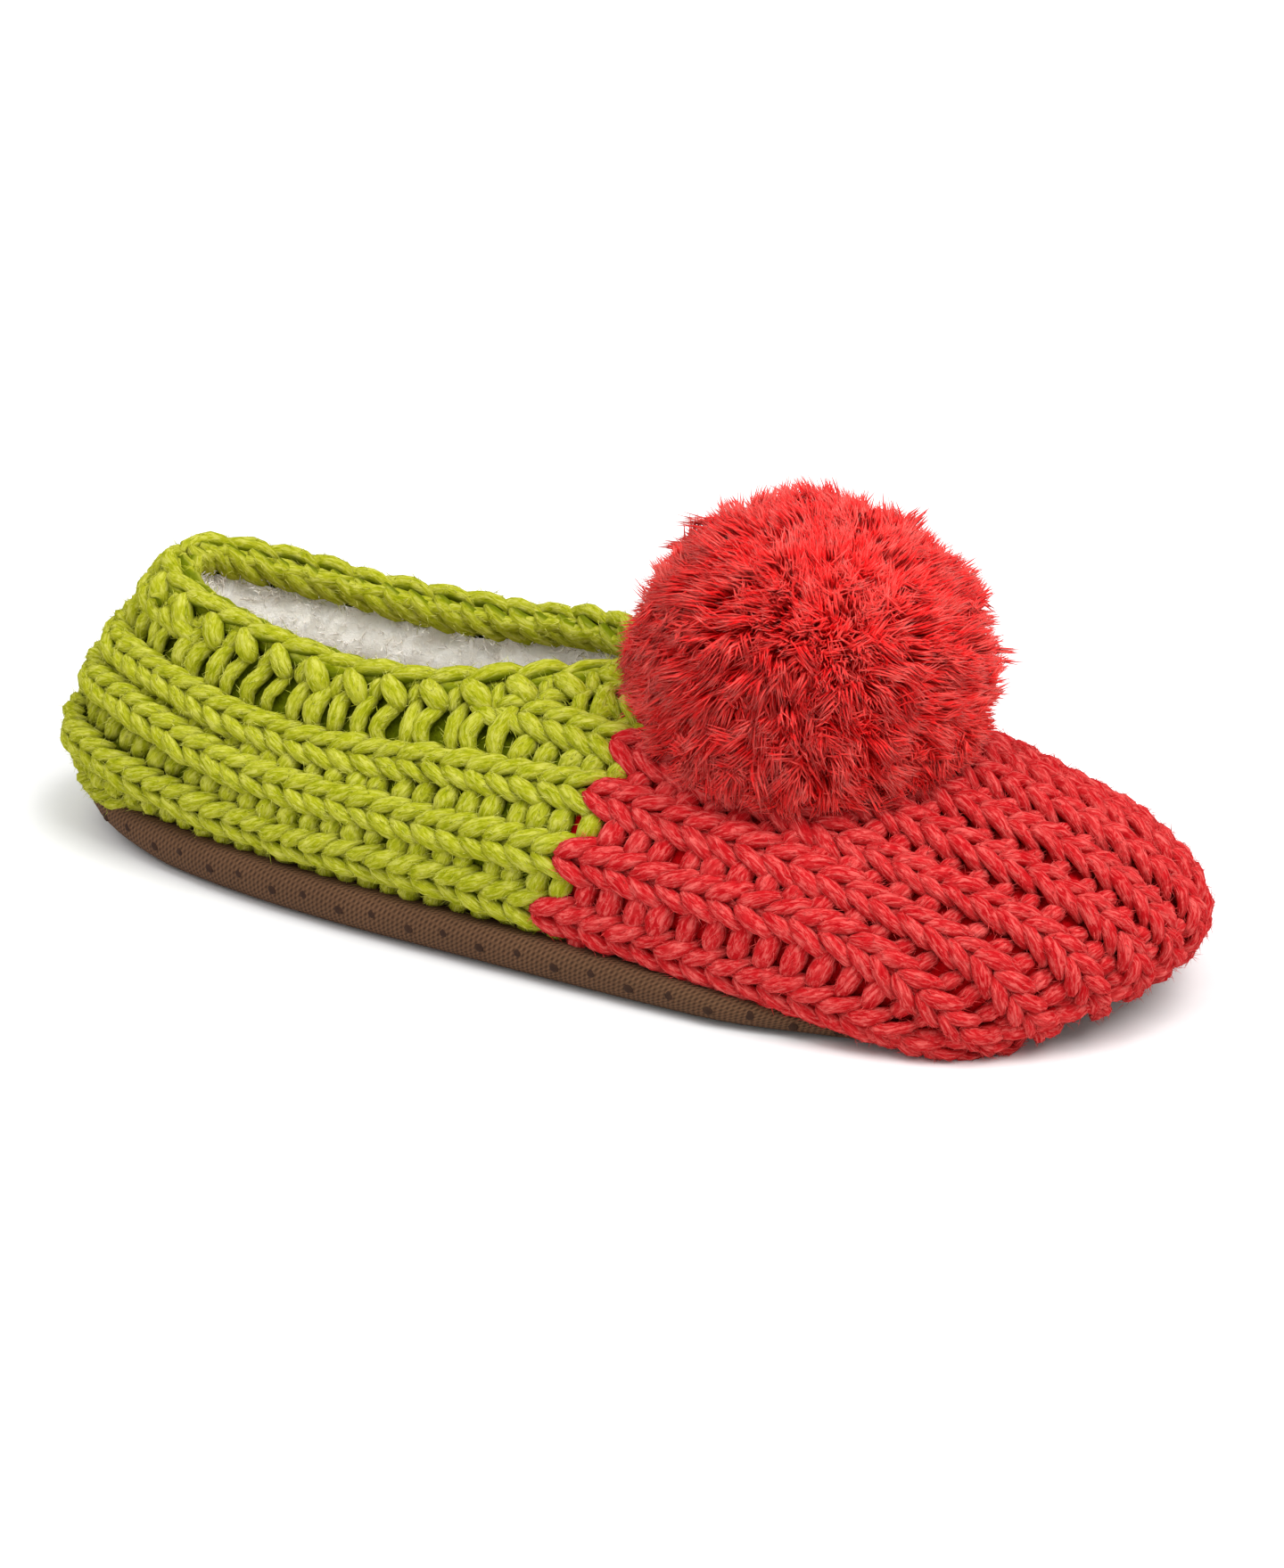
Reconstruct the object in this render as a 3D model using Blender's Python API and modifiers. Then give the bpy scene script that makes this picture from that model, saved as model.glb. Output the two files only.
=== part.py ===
"""A knitted ballerina slipper with a pompom: outsole, insole, upper, collar edging and pompom.

Run with blender --background --python part.py. Metres, +Z up, the toe points along +X, and the slipper
stands on z = 0 with the middle of its length at the origin.
"""

import bmesh
import bpy
import numpy as np

MM = 0.001

# Driving sizes, in millimetres
HALF_LENGTH = 122.7
WALL = 6.0
GAP = 0.3
EDGING_RADIUS = 3.2
INSOLE_THICKNESS = 3.5
POMPOM_RADIUS = 36.0
POMPOM_CENTRE = (166.5, 0.0, 56.5)

# How finely the lofts are cut
STEPS_PER_SPAN = 6
STEPS_UP_WALL = 12

# One row for each section of the last, from the heel's back round one side to the toe's tip, in millimetres and
# degrees. The base is the hem on the sole, and the top is the collar's rim as far as the throat and the vamp's
# middle line after it. flare and slope lean the wall at its base and top, turn is the bearing it comes up from (180
# behind, 90 beside, 0 ahead), and the pulls round it out. sole is the sole's thickness, tuck draws the sole's edge in
# under the hem, and lining draws the insole's edge in from it.
COLUMNS = "x y z top_x top_y top_z flare pull slope turn top_pull sole tuck lining".split()
SECTIONS = {
    "heel_back": (3.0, 0.0, 9.0, 19.0, 0.0, 53.5, 30, 18, 60, 180, 16, 4.2, 4.5, 8.2),
    "heel_corner": (11.0, 21.5, 9.0, 24.0, 12.0, 52.0, 28, 18, 60, 135, 16, 5.6, 4.2, 8.2),
    "heel_side": (36.0, 31.5, 9.0, 45.0, 20.5, 48.0, 24, 18, 58, 104, 16, 8.7, 1.2, 7.6),
    "waist": (90.0, 39.5, 8.5, 88.0, 24.5, 45.0, 25, 18, 55, 92, 16, 8.2, 0.0, 7.5),
    "instep": (130.0, 42.0, 8.0, 119.0, 19.0, 50.3, 25, 21, 32, 90, 17, 7.7, 0.0, 7.5),
    "throat": (160.0, 43.5, 6.5, 137.5, 0.0, 54.0, 25, 24, 0, 90, 28, 6.2, 0.4, 7.8),
    "ball": (184.0, 44.0, 4.5, 163.0, 0.0, 50.5, 26, 24, 0, 90, 27, 4.2, 1.2, 8.2),
    "toe_side": (209.0, 41.0, 3.0, 191.0, 0.0, 44.5, 27, 21, 0, 86, 24, 2.7, 2.2, 9.0),
    "toe_corner": (233.0, 23.5, 8.0, 210.0, 0.0, 40.0, 34, 17, 8, 50, 20, 3.0, 2.6, 10.4),
    "toe_tip": (242.5, 0.0, 11.5, 217.0, 0.0, 38.0, 36, 15, 16, 0, 18, 3.0, 2.6, 11.0),
}
THROAT = list(SECTIONS).index("throat")

# Rings of the slabs, from top to bottom: how far outside the slab's line, in millimetres, and the share of its height
OUTSOLE_RINGS = ((-0.2, 1.0), (0.9, 0.84), (1.3, 0.55), (0.7, 0.25), (-1.0, 0.07), (-3.2, 0.0))
INSOLE_RINGS = ((-2.0, 1.0), (-0.6, 0.85), (0.0, 0.5), (0.0, 0.0))
SEAT_RINGS = ((-0.2, 1.0), (30.0, 1.0), (30.0, 0.0))
SEAT_DEPTH = 30.0


def cubic(knots, values, at, start_slope=None, end_slope=None):
    """A cubic spline through the values, with each end either natural or held at a slope."""
    count = len(knots)
    span = np.diff(knots)
    rise = np.diff(values) / span
    matrix = np.zeros((count, count))
    right = np.zeros(count)
    for i in range(1, count - 1):
        matrix[i, i - 1 : i + 2] = span[i], 2 * (span[i - 1] + span[i]), span[i - 1]
        right[i] = 3 * (span[i] * rise[i - 1] + span[i - 1] * rise[i])
    for row, beside, slope, near in ((0, 1, start_slope, rise[0]), (-1, -2, end_slope, rise[-1])):
        matrix[row, row] = 2.0 if slope is None else 1.0
        matrix[row, beside] = 1.0 if slope is None else 0.0
        right[row] = 3 * near if slope is None else slope
    slopes = np.linalg.solve(matrix, right)
    left = np.clip(np.searchsorted(knots, at, side="right") - 1, 0, count - 2)
    step = span[left]
    part = (at - knots[left]) / step
    return (
        values[left] * (1 + 2 * part) * (1 - part) ** 2
        + step * slopes[left] * part * (1 - part) ** 2
        + values[left + 1] * part**2 * (3 - 2 * part)
        + step * slopes[left + 1] * part**2 * (part - 1)
    )


def unit(vectors):
    return vectors / np.linalg.norm(vectors, axis=-1, keepdims=True)


def outward(x, y):
    """Unit normals in plan of a line that runs from the heel to the toe, pointing away from the foot."""
    across = np.stack([-np.gradient(y), np.gradient(x)], axis=1)
    across[0] = -1.0, 0.0
    across[-1] = 1.0, 0.0
    return unit(across)


def last_lines():
    """Every column of the table as a smooth line from heel to toe, and where along it the throat is."""
    table = np.array(list(SECTIONS.values()), dtype=float)
    column = {name: table[:, i] for i, name in enumerate(COLUMNS)}
    knots = np.concatenate([[0.0], np.cumsum(np.hypot(np.diff(column["x"]), np.diff(column["y"])))])
    shares = np.arange(STEPS_PER_SPAN) / STEPS_PER_SPAN
    at = np.append((knots[:-1, None] + np.diff(knots)[:, None] * shares).ravel(), knots[-1])
    throat = THROAT * STEPS_PER_SPAN
    line = {}
    for name, values in column.items():
        if name.startswith("top_") and name != "top_pull":
            flat = None if name == "top_y" else 0.0
            rim = cubic(knots[: THROAT + 1], values[: THROAT + 1], at[:throat], flat, flat)
            vamp = cubic(knots[THROAT:], values[THROAT:], at[throat:])
            line[name] = np.concatenate([rim, vamp])
        elif name in ("x", "z"):
            line[name] = cubic(knots, values, at, 0.0, 0.0)
        else:
            line[name] = cubic(knots, values, at)
    for name in ("y", "top_y"):
        line[name][[0, -1]] = 0.0
    line["top_y"][throat:] = 0.0
    line["x"] -= HALF_LENGTH
    line["top_x"] -= HALF_LENGTH
    line["base_out"] = outward(line["x"], line["y"])
    turn = np.radians(line["turn"])
    line["top_out"] = np.column_stack([np.cos(turn), np.sin(turn)])
    return line, throat


def wall_grid(line, lowest):
    """Points of the upper's outer face on the +Y side, as [section, height up the wall, xyz]."""
    flare = np.radians(line["flare"])
    slope = np.radians(line["slope"])
    base = np.column_stack([line["x"], line["y"], line["z"]])
    top = np.column_stack([line["top_x"], line["top_y"], line["top_z"]])
    rise = np.column_stack([line["base_out"] * np.sin(flare)[:, None], np.cos(flare)])
    fall = np.column_stack([line["top_out"] * np.cos(slope)[:, None], -np.sin(slope)])
    low_handle = base + line["pull"][:, None] * rise
    high_handle = top + line["top_pull"][:, None] * fall
    shares = np.linspace(0.0, 1.0, STEPS_UP_WALL + 1)
    shares[0] = lowest
    rows = [
        (1 - s) ** 3 * base + 3 * (1 - s) ** 2 * s * low_handle + 3 * (1 - s) * s**2 * high_handle + s**3 * top
        for s in shares
    ]
    grid = np.stack(rows, axis=1)
    grid[[0, -1], :, 1] = 0.0
    return grid


def new_object(name, mesh, collection):
    thing = bpy.data.objects.new(name, mesh)
    collection.objects.link(thing)
    return thing


def loft(name, grid, collection, loose=False):
    """A surface through a grid of points in millimetres, facing away from the foot."""
    bm = bmesh.new()
    verts = [[bm.verts.new(point * MM) for point in row] for row in grid]
    for near, far in zip(verts[:-1], verts[1:]):
        for i in range(len(near) - 1):
            bm.faces.new((near[i], near[i + 1], far[i + 1], far[i]))
    if loose:
        bmesh.ops.remove_doubles(bm, verts=bm.verts, dist=1e-7)
        bmesh.ops.dissolve_degenerate(bm, edges=bm.edges, dist=1e-7)
    mesh = bpy.data.meshes.new(name)
    bm.to_mesh(mesh)
    bm.free()
    return new_object(name, mesh, collection)


def mirror(thing):
    modifier = thing.modifiers.new("both_sides", "MIRROR")
    modifier.use_axis = (False, True, False)
    modifier.merge_threshold = 1e-5


def cut(thing, cutter):
    modifier = thing.modifiers.new("cut_by_" + cutter.name, "BOOLEAN")
    modifier.operation = "DIFFERENCE"
    modifier.solver = "EXACT"
    modifier.object = cutter


def slab(name, line, rings, inset, bottom, top, collection):
    """A closed slab inside the hem's line: a stack of rings, with its top and bottom spanned from side to side."""
    bm = bmesh.new()
    loops = []
    for out, share in rings:
        offset = (out - inset)[:, None] * line["base_out"]
        x = line["x"] + offset[:, 0]
        y = line["y"] + offset[:, 1]
        z = bottom + (top - bottom) * share
        left = [bm.verts.new(np.array(point) * MM) for point in zip(x, y, z)]
        right = [bm.verts.new(np.array(point) * MM) for point in zip(x[1:-1], -y[1:-1], z[1:-1])]
        loops.append(left + right[::-1])
    count = len(loops[0])
    for upper, lower in zip(loops[:-1], loops[1:]):
        for i in range(count):
            j = (i + 1) % count
            bm.faces.new((upper[i], upper[j], lower[j], lower[i]))
    last = count // 2
    for loop in (loops[0], loops[-1]):
        for i in range(last):
            corners = [loop[i], loop[i + 1], loop[-i - 1], loop[-i % count]]
            bm.faces.new(list(dict.fromkeys(corners)))
    bmesh.ops.recalc_face_normals(bm, faces=bm.faces)
    mesh = bpy.data.meshes.new(name)
    bm.to_mesh(mesh)
    bm.free()
    return new_object(name, mesh, collection)


def make_outsole(line, parts):
    top = line["z"] - GAP
    bottom = np.maximum(top - line["sole"], 0.0)
    bottom[bottom < 0.02] = 0.0
    return slab("outsole", line, OUTSOLE_RINGS, line["tuck"], bottom, top, parts)


def make_insole(line, parts):
    sole_edge_x = line["x"] - (line["tuck"] - OUTSOLE_RINGS[0][0]) * line["base_out"][:, 0]
    edge_x = line["x"] - line["lining"] * line["base_out"][:, 0]
    bottom = np.interp(edge_x, sole_edge_x, line["z"])
    return slab("insole", line, INSOLE_RINGS, line["lining"], bottom, bottom + INSOLE_THICKNESS, parts)


def make_upper(line, cord, parts, cutters):
    """The knitted wall: half a loft, mirrored, thickened inwards, and trimmed to the sole's top and the edging."""
    upper = loft("upper", wall_grid(line, lowest=-0.08), parts)
    mirror(upper)
    wall = upper.modifiers.new("wall", "SOLIDIFY")
    wall.thickness = WALL * MM
    wall.offset = -1.0
    wall.use_even_offset = True
    wall.use_quality_normals = True
    seat = slab("seat_cutter", line, SEAT_RINGS, line["tuck"], line["z"] - SEAT_DEPTH, line["z"], cutters)
    cut(upper, seat)
    cut(upper, cord)
    return upper


def cord_along_rim(name, line, throat, radius):
    """A round closed curve along the rim's middle, whose cord lies just clear of the rim."""
    grid = wall_grid(line, lowest=0.0)
    lengthwise = np.gradient(grid, axis=0)
    face = unit(np.cross(grid[:, -1] - grid[:, -2], lengthwise[:, -3]))[: throat + 1]
    rim = grid[: throat + 1, -1]
    along = np.gradient(rim, axis=0)
    along[0] = 0.0, 1.0, 0.0
    along[-1] = 0.0, -1.0, 0.0
    up = unit(np.cross(along, face))
    middle = rim - face * WALL / 2 + up * (GAP + EDGING_RADIUS)
    route = np.vstack([middle, (middle * (1, -1, 1))[-2:0:-1]])
    curve = bpy.data.curves.new(name, "CURVE")
    curve.dimensions = "3D"
    curve.bevel_depth = radius * MM
    curve.bevel_resolution = 2
    spline = curve.splines.new("POLY")
    spline.points.add(len(route) - 1)
    for point, place in zip(spline.points, route):
        point.co = (*(place * MM), 1.0)
    spline.use_cyclic_u = True
    return curve


def make_edging(line, throat, parts):
    return new_object("collar_edging", cord_along_rim("collar_edging", line, throat, EDGING_RADIUS), parts)


def make_edging_cutter(line, throat, cutters):
    """The edging with its clearance, to cut what lies against it."""
    guide = bpy.data.objects.new("rim_guide", cord_along_rim("rim_guide", line, throat, EDGING_RADIUS + GAP))
    cutter = new_object("edging_cutter", bpy.data.meshes.new_from_object(guide), cutters)
    bpy.data.objects.remove(guide)
    return cutter


def make_pompom(line, cord, parts, cutters):
    """A ball whose underside is cut to the vamp's own form, and to the edging's cord at the throat."""
    grid = wall_grid(line, lowest=0.0)
    middle_base = grid[:, :1] * (1, 0, 1)
    middle_top = grid[:, -1:] * (1, 0, 1)
    vamp = loft("vamp_cutter", np.concatenate([middle_base, grid, middle_top], axis=1), cutters, loose=True)
    mirror(vamp)
    clear = vamp.modifiers.new("clearance", "DISPLACE")
    clear.strength = GAP * MM
    clear.mid_level = 0.0
    centre = np.subtract(POMPOM_CENTRE, (HALF_LENGTH, 0.0, 0.0)) * MM
    bpy.ops.mesh.primitive_ico_sphere_add(subdivisions=4, radius=POMPOM_RADIUS * MM, location=centre)
    pompom = bpy.context.object
    pompom.name = pompom.data.name = "pompom"
    for home in pompom.users_collection:
        home.objects.unlink(pompom)
    parts.objects.link(pompom)
    cut(pompom, vamp)
    cut(pompom, cord)
    return pompom


def paint(thing, colour, roughness, sheen):
    material = bpy.data.materials.new(thing.name)
    material.use_nodes = True
    shader = material.node_tree.nodes["Principled BSDF"]
    shader.inputs["Base Color"].default_value = (*colour, 1.0)
    shader.inputs["Roughness"].default_value = roughness
    shader.inputs["Metallic"].default_value = 0.0
    shader.inputs["Sheen Weight"].default_value = sheen
    thing.data.materials.append(material)


def new_collection(name):
    collection = bpy.data.collections.new(name)
    bpy.context.scene.collection.children.link(collection)
    return collection


def main():
    for thing in list(bpy.data.objects):
        bpy.data.objects.remove(thing)
    parts = new_collection("ballerina_slipper")
    cutters = new_collection("cutters")
    line, throat = last_lines()
    cord = make_edging_cutter(line, throat, cutters)
    slipper = new_object("slipper", None, parts)
    finishes = (
        (make_outsole(line, parts), (0.13, 0.075, 0.045), 0.9, 0.1),
        (make_insole(line, parts), (0.72, 0.67, 0.60), 1.0, 0.3),
        (make_upper(line, cord, parts, cutters), (0.39, 0.40, 0.026), 0.95, 0.3),
        (make_edging(line, throat, parts), (0.39, 0.40, 0.026), 0.95, 0.3),
        (make_pompom(line, cord, parts, cutters), (0.74, 0.045, 0.04), 0.95, 0.3),
    )
    for thing, colour, roughness, sheen in finishes:
        paint(thing, colour, roughness, sheen)
        thing.parent = slipper
    for cutter in cutters.objects:
        cutter.hide_render = True
        cutter.display_type = "WIRE"


main()
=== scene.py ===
"""Looks of a knitted ballerina slipper with a pompom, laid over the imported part.

Lengths are millimetres, and MM turns them into metres where a mesh or a shader takes them.
"""

import math

import bpy
import numpy as np
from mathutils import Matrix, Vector


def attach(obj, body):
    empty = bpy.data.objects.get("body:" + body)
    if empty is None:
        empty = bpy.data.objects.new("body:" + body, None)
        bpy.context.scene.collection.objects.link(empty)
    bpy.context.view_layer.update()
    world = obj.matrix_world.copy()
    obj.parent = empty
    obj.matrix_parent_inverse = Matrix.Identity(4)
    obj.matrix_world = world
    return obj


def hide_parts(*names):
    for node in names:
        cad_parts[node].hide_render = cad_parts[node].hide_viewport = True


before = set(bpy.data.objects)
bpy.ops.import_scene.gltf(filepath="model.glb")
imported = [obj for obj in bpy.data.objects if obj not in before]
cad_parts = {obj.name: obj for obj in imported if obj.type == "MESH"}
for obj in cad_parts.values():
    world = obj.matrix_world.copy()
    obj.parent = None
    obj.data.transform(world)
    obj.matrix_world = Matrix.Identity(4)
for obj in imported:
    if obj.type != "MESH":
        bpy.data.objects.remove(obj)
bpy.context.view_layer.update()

MM = 0.001
TINY = 1e-6
HALF_LENGTH = 122.7
FLOOR_GAP = 0.15
ACROSS = np.array([0.0, 1.0, 0.0])
MIDDLE_PLANE = np.array([1.0, 0.0, 1.0])
MIRRORED = np.array([1.0, -1.0, 1.0])
BOTH_SIDES = (np.ones(3), MIRRORED)
POMPOM_MIDDLE = np.array([42.3, -1.5, 54.2])
POMPOM_RADIUS = 36.5

# The last's shape
COLUMNS = "x y z top_x top_y top_z flare pull slope turn top_pull sole tuck lining".split()
SECTIONS = {
    "heel_back": (3.0, 0.0, 9.0, 19.0, 0.0, 53.5, 30, 18, 60, 180, 16, 4.2, 4.5, 8.2),
    "heel_corner": (11.0, 21.5, 9.0, 24.0, 12.0, 52.0, 28, 18, 60, 135, 16, 5.6, 4.2, 8.2),
    "heel_side": (36.0, 31.5, 9.0, 45.0, 20.5, 48.0, 24, 18, 58, 104, 16, 8.7, 1.2, 7.6),
    "waist": (90.0, 39.5, 8.5, 88.0, 24.5, 45.0, 25, 18, 55, 92, 16, 8.2, 0.0, 7.5),
    "instep": (130.0, 42.0, 8.0, 119.0, 19.0, 50.3, 25, 21, 32, 90, 17, 7.7, 0.0, 7.5),
    "throat": (160.0, 43.5, 6.5, 137.5, 0.0, 54.0, 25, 24, 0, 90, 28, 6.2, 0.4, 7.8),
    "ball": (184.0, 44.0, 4.5, 163.0, 0.0, 50.5, 26, 24, 0, 90, 27, 4.2, 1.2, 8.2),
    "toe_side": (209.0, 41.0, 3.0, 191.0, 0.0, 44.5, 27, 21, 0, 86, 24, 2.7, 2.2, 9.0),
    "toe_corner": (233.0, 23.5, 8.0, 210.0, 0.0, 40.0, 34, 17, 8, 50, 20, 3.0, 2.6, 10.4),
    "toe_tip": (242.5, 0.0, 11.5, 217.0, 0.0, 38.0, 36, 15, 16, 0, 18, 3.0, 2.6, 11.0),
}
THROAT = list(SECTIONS).index("throat")
SECTION_COUNT = 521
SECTION_NUMBERS = np.arange(SECTION_COUNT, dtype=float)
HEIGHT_COUNT = 141
HEIGHT_NUMBERS = np.arange(HEIGHT_COUNT)
LOWEST_SHARE = -0.12

# How high each ridge of the knit runs above the hem, as (section counted from the heel, height).
# One more ridge, on the middle line, follows from the wall's own height.
RIDGE_RUNS = (
    ((0, 13.0), (59, 12.8), (83, 10.6), (109, 8.4), (150, 6.6), (190, 7.6), (225, 8.1), (255, 7.1),
     (283, 6.2), (320, 4.9), (356, 5.1), (385, 3.6), (413, 0.0), (440, -9.0), (520, -60.0)),
    ((0, 25.5), (58, 25.8), (77, 24.2), (95, 21.7), (128, 19.0), (160, 18.5), (190, 18.8), (221, 18.6),
     (256, 19.5), (287, 20.4), (330, 20.6), (372, 21.9), (390, 21.0), (403, 18.0), (418, 9.2), (431, 0.0),
     (450, -10.0), (520, -55.0)),
    ((0, 35.0), (58, 34.0), (80, 32.3), (106, 29.4), (150, 27.8), (181, 28.7), (217, 31.2), (256, 33.0),
     (293, 34.8), (336, 34.7), (371, 33.4), (393, 31.3), (416, 26.2), (435, 18.2), (453, 0.0), (465, -11.0),
     (520, -50.0)),
    ((0, 49.0), (106, 43.6), (181, 43.0), (217, 45.4), (256, 47.2), (290, 47.4), (330, 47.2), (372, 45.4),
     (409, 38.2), (436, 30.2), (451, 23.1), (462, 16.0), (475, 0.0), (485, -11.0), (520, -45.0)),
    ((0, 62.0), (256, 61.0), (290, 59.4), (330, 57.6), (372, 56.0), (400, 52.0), (424, 45.8), (444, 38.7),
     (462, 31.0), (476, 21.9), (485, 14.0), (491, 0.0), (500, -14.0), (520, -40.0)),
    ((0, 76.0), (256, 73.0), (300, 69.5), (330, 67.9), (372, 66.2), (400, 62.4), (424, 56.8), (446, 49.6),
     (471, 39.6), (491, 28.5), (498, 18.3), (506, 0.0), (520, -30.0)),
)
MIDDLE_RIDGE = len(RIDGE_RUNS)
LOWEST_RIDGE = -1
RIDGE_LOW = -1.6
RIDGE_HIGH = MIDDLE_RIDGE + 0.6
RIDGE_FINE = 0.025
RIDGE_WINDOW = 19
RIDGE_CLEAR = 12.0
RIDGE_STEP = 13.0
MIDDLE_FALL = 16.0
THROAT_BLEND = 12


def unit(vectors):
    """The vectors at a length of one."""
    return vectors / np.maximum(np.linalg.norm(vectors, axis=-1, keepdims=True), 1e-12)


def smooth(values):
    """An even rise from 0 to 1, level at both ends."""
    values = np.clip(values, 0.0, 1.0)
    return values * values * (3.0 - 2.0 * values)


def run_length(points):
    """How far along its line each point lies, for one line of points or for many."""
    run = np.zeros(points.shape[:-1])
    run[..., 1:] = np.cumsum(np.linalg.norm(np.diff(points, axis=-2), axis=-1), axis=-1)
    return run


def on_line(at, places, table):
    """A line's points or directions, given at places along it, read at other places."""
    return np.stack([np.interp(at, places, table[:, k]) for k in range(3)], axis=-1)


def from_rows(rows, at):
    """The value at some place of a table of (place, value) rows."""
    places, values = zip(*rows)
    return np.interp(at, places, values)


def cubic(knots, values, at, start_slope=None, end_slope=None):
    """Cubic spline through the values, with natural ends or held end slopes."""
    count = len(knots)
    span = np.diff(knots)
    rise = np.diff(values) / span
    matrix = np.zeros((count, count))
    right = np.zeros(count)
    for i in range(1, count - 1):
        matrix[i, i - 1 : i + 2] = span[i], 2 * (span[i - 1] + span[i]), span[i - 1]
        right[i] = 3 * (span[i] * rise[i - 1] + span[i - 1] * rise[i])
    for row, beside, slope, near in ((0, 1, start_slope, rise[0]), (-1, -2, end_slope, rise[-1])):
        matrix[row, row] = 2.0 if slope is None else 1.0
        matrix[row, beside] = 1.0 if slope is None else 0.0
        right[row] = 3 * near if slope is None else slope
    slopes = np.linalg.solve(matrix, right)
    left = np.clip(np.searchsorted(knots, at, side="right") - 1, 0, count - 2)
    step = span[left]
    part = (at - knots[left]) / step
    return (
        values[left] * (1 + 2 * part) * (1 - part) ** 2
        + step * slopes[left] * part * (1 - part) ** 2
        + values[left + 1] * part**2 * (3 - 2 * part)
        + step * slopes[left + 1] * part**2 * (part - 1)
    )


def last_lines(count):
    """The table's columns as smooth lines from heel to toe, and the index of the throat."""
    table = np.array(list(SECTIONS.values()), dtype=float)
    column = {name: table[:, i] for i, name in enumerate(COLUMNS)}
    knots = np.concatenate([[0.0], np.cumsum(np.hypot(np.diff(column["x"]), np.diff(column["y"])))])
    at = np.linspace(0.0, knots[-1], count)
    throat = int(np.searchsorted(at, knots[THROAT]))
    line = {}
    for name, values in column.items():
        if name in ("top_x", "top_y", "top_z"):
            flat = None if name == "top_y" else 0.0
            rim = cubic(knots[: THROAT + 1], values[: THROAT + 1], at[:throat], flat, flat)
            vamp = cubic(knots[THROAT:], values[THROAT:], at[throat:])
            line[name] = np.concatenate([rim, vamp])
        elif name in ("x", "z"):
            line[name] = cubic(knots, values, at, 0.0, 0.0)
        else:
            line[name] = cubic(knots, values, at)
    for name in ("y", "top_y"):
        line[name][[0, -1]] = 0.0
    line["top_y"][throat:] = 0.0
    line["x"] -= HALF_LENGTH
    line["top_x"] -= HALF_LENGTH
    across = np.stack([-np.gradient(line["y"]), np.gradient(line["x"])], axis=1)
    across[0] = -1.0, 0.0
    across[-1] = 1.0, 0.0
    line["base_out"] = unit(across)
    turn = np.radians(line["turn"])
    line["top_out"] = np.column_stack([np.cos(turn), np.sin(turn)])
    return line, throat


def wall_surface(line, shares):
    """Points of the wall's outer face on the +Y side, as [section, height, xyz]."""
    flare = np.radians(line["flare"])
    slope = np.radians(line["slope"])
    base = np.column_stack([line["x"], line["y"], line["z"]])
    top = np.column_stack([line["top_x"], line["top_y"], line["top_z"]])
    rise = np.column_stack([line["base_out"] * np.sin(flare)[:, None], np.cos(flare)])
    fall = np.column_stack([line["top_out"] * np.cos(slope)[:, None], -np.sin(slope)])
    low_handle = base + line["pull"][:, None] * rise
    high_handle = top + line["top_pull"][:, None] * fall
    s = shares[None, :, None]
    grid = (
        (1 - s) ** 3 * base[:, None]
        + 3 * (1 - s) ** 2 * s * low_handle[:, None]
        + 3 * (1 - s) * s**2 * high_handle[:, None]
        + s**3 * top[:, None]
    )
    grid[[0, -1], :, 1] = 0.0
    return grid


def wall_normals(grid, throat):
    """Outward directions of the wall, taken from lower down along the rim and at the throat's corner."""
    normals = unit(np.cross(np.gradient(grid, axis=1), np.gradient(grid, axis=0)))
    normals[[0, -1], :, 1] = 0.0
    normals[throat:, -1, 1] = 0.0
    normals[:throat, -1] = normals[:throat, -3]
    near = slice(throat - THROAT_BLEND, throat + THROAT_BLEND + 1)
    normals[near, -1] = normals[near, -2] = normals[near, -4]
    return unit(normals)


def ridge_heights(total, throat):
    """How far up the wall from the hem each ridge runs, as [section, ridge], with the middle line's last."""
    window = np.hanning(RIDGE_WINDOW)
    margin = (RIDGE_WINDOW - 3) // 2
    runs = []
    for run in RIDGE_RUNS:
        at, height = np.array(run).T
        line = np.pad(np.interp(SECTION_NUMBERS, at, height), margin, mode="reflect", reflect_type="odd")
        runs.append(np.convolve(line, window[1:-1] / window.sum(), mode="valid"))
    middle = np.where(SECTION_NUMBERS < throat, np.maximum(total, runs[-1] + RIDGE_CLEAR), total)
    middle *= np.clip((SECTION_COUNT - 1 - SECTION_NUMBERS) / MIDDLE_FALL, 0.0, 1.0)
    return np.maximum.accumulate(np.stack(runs + [middle], axis=1), axis=1)


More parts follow.
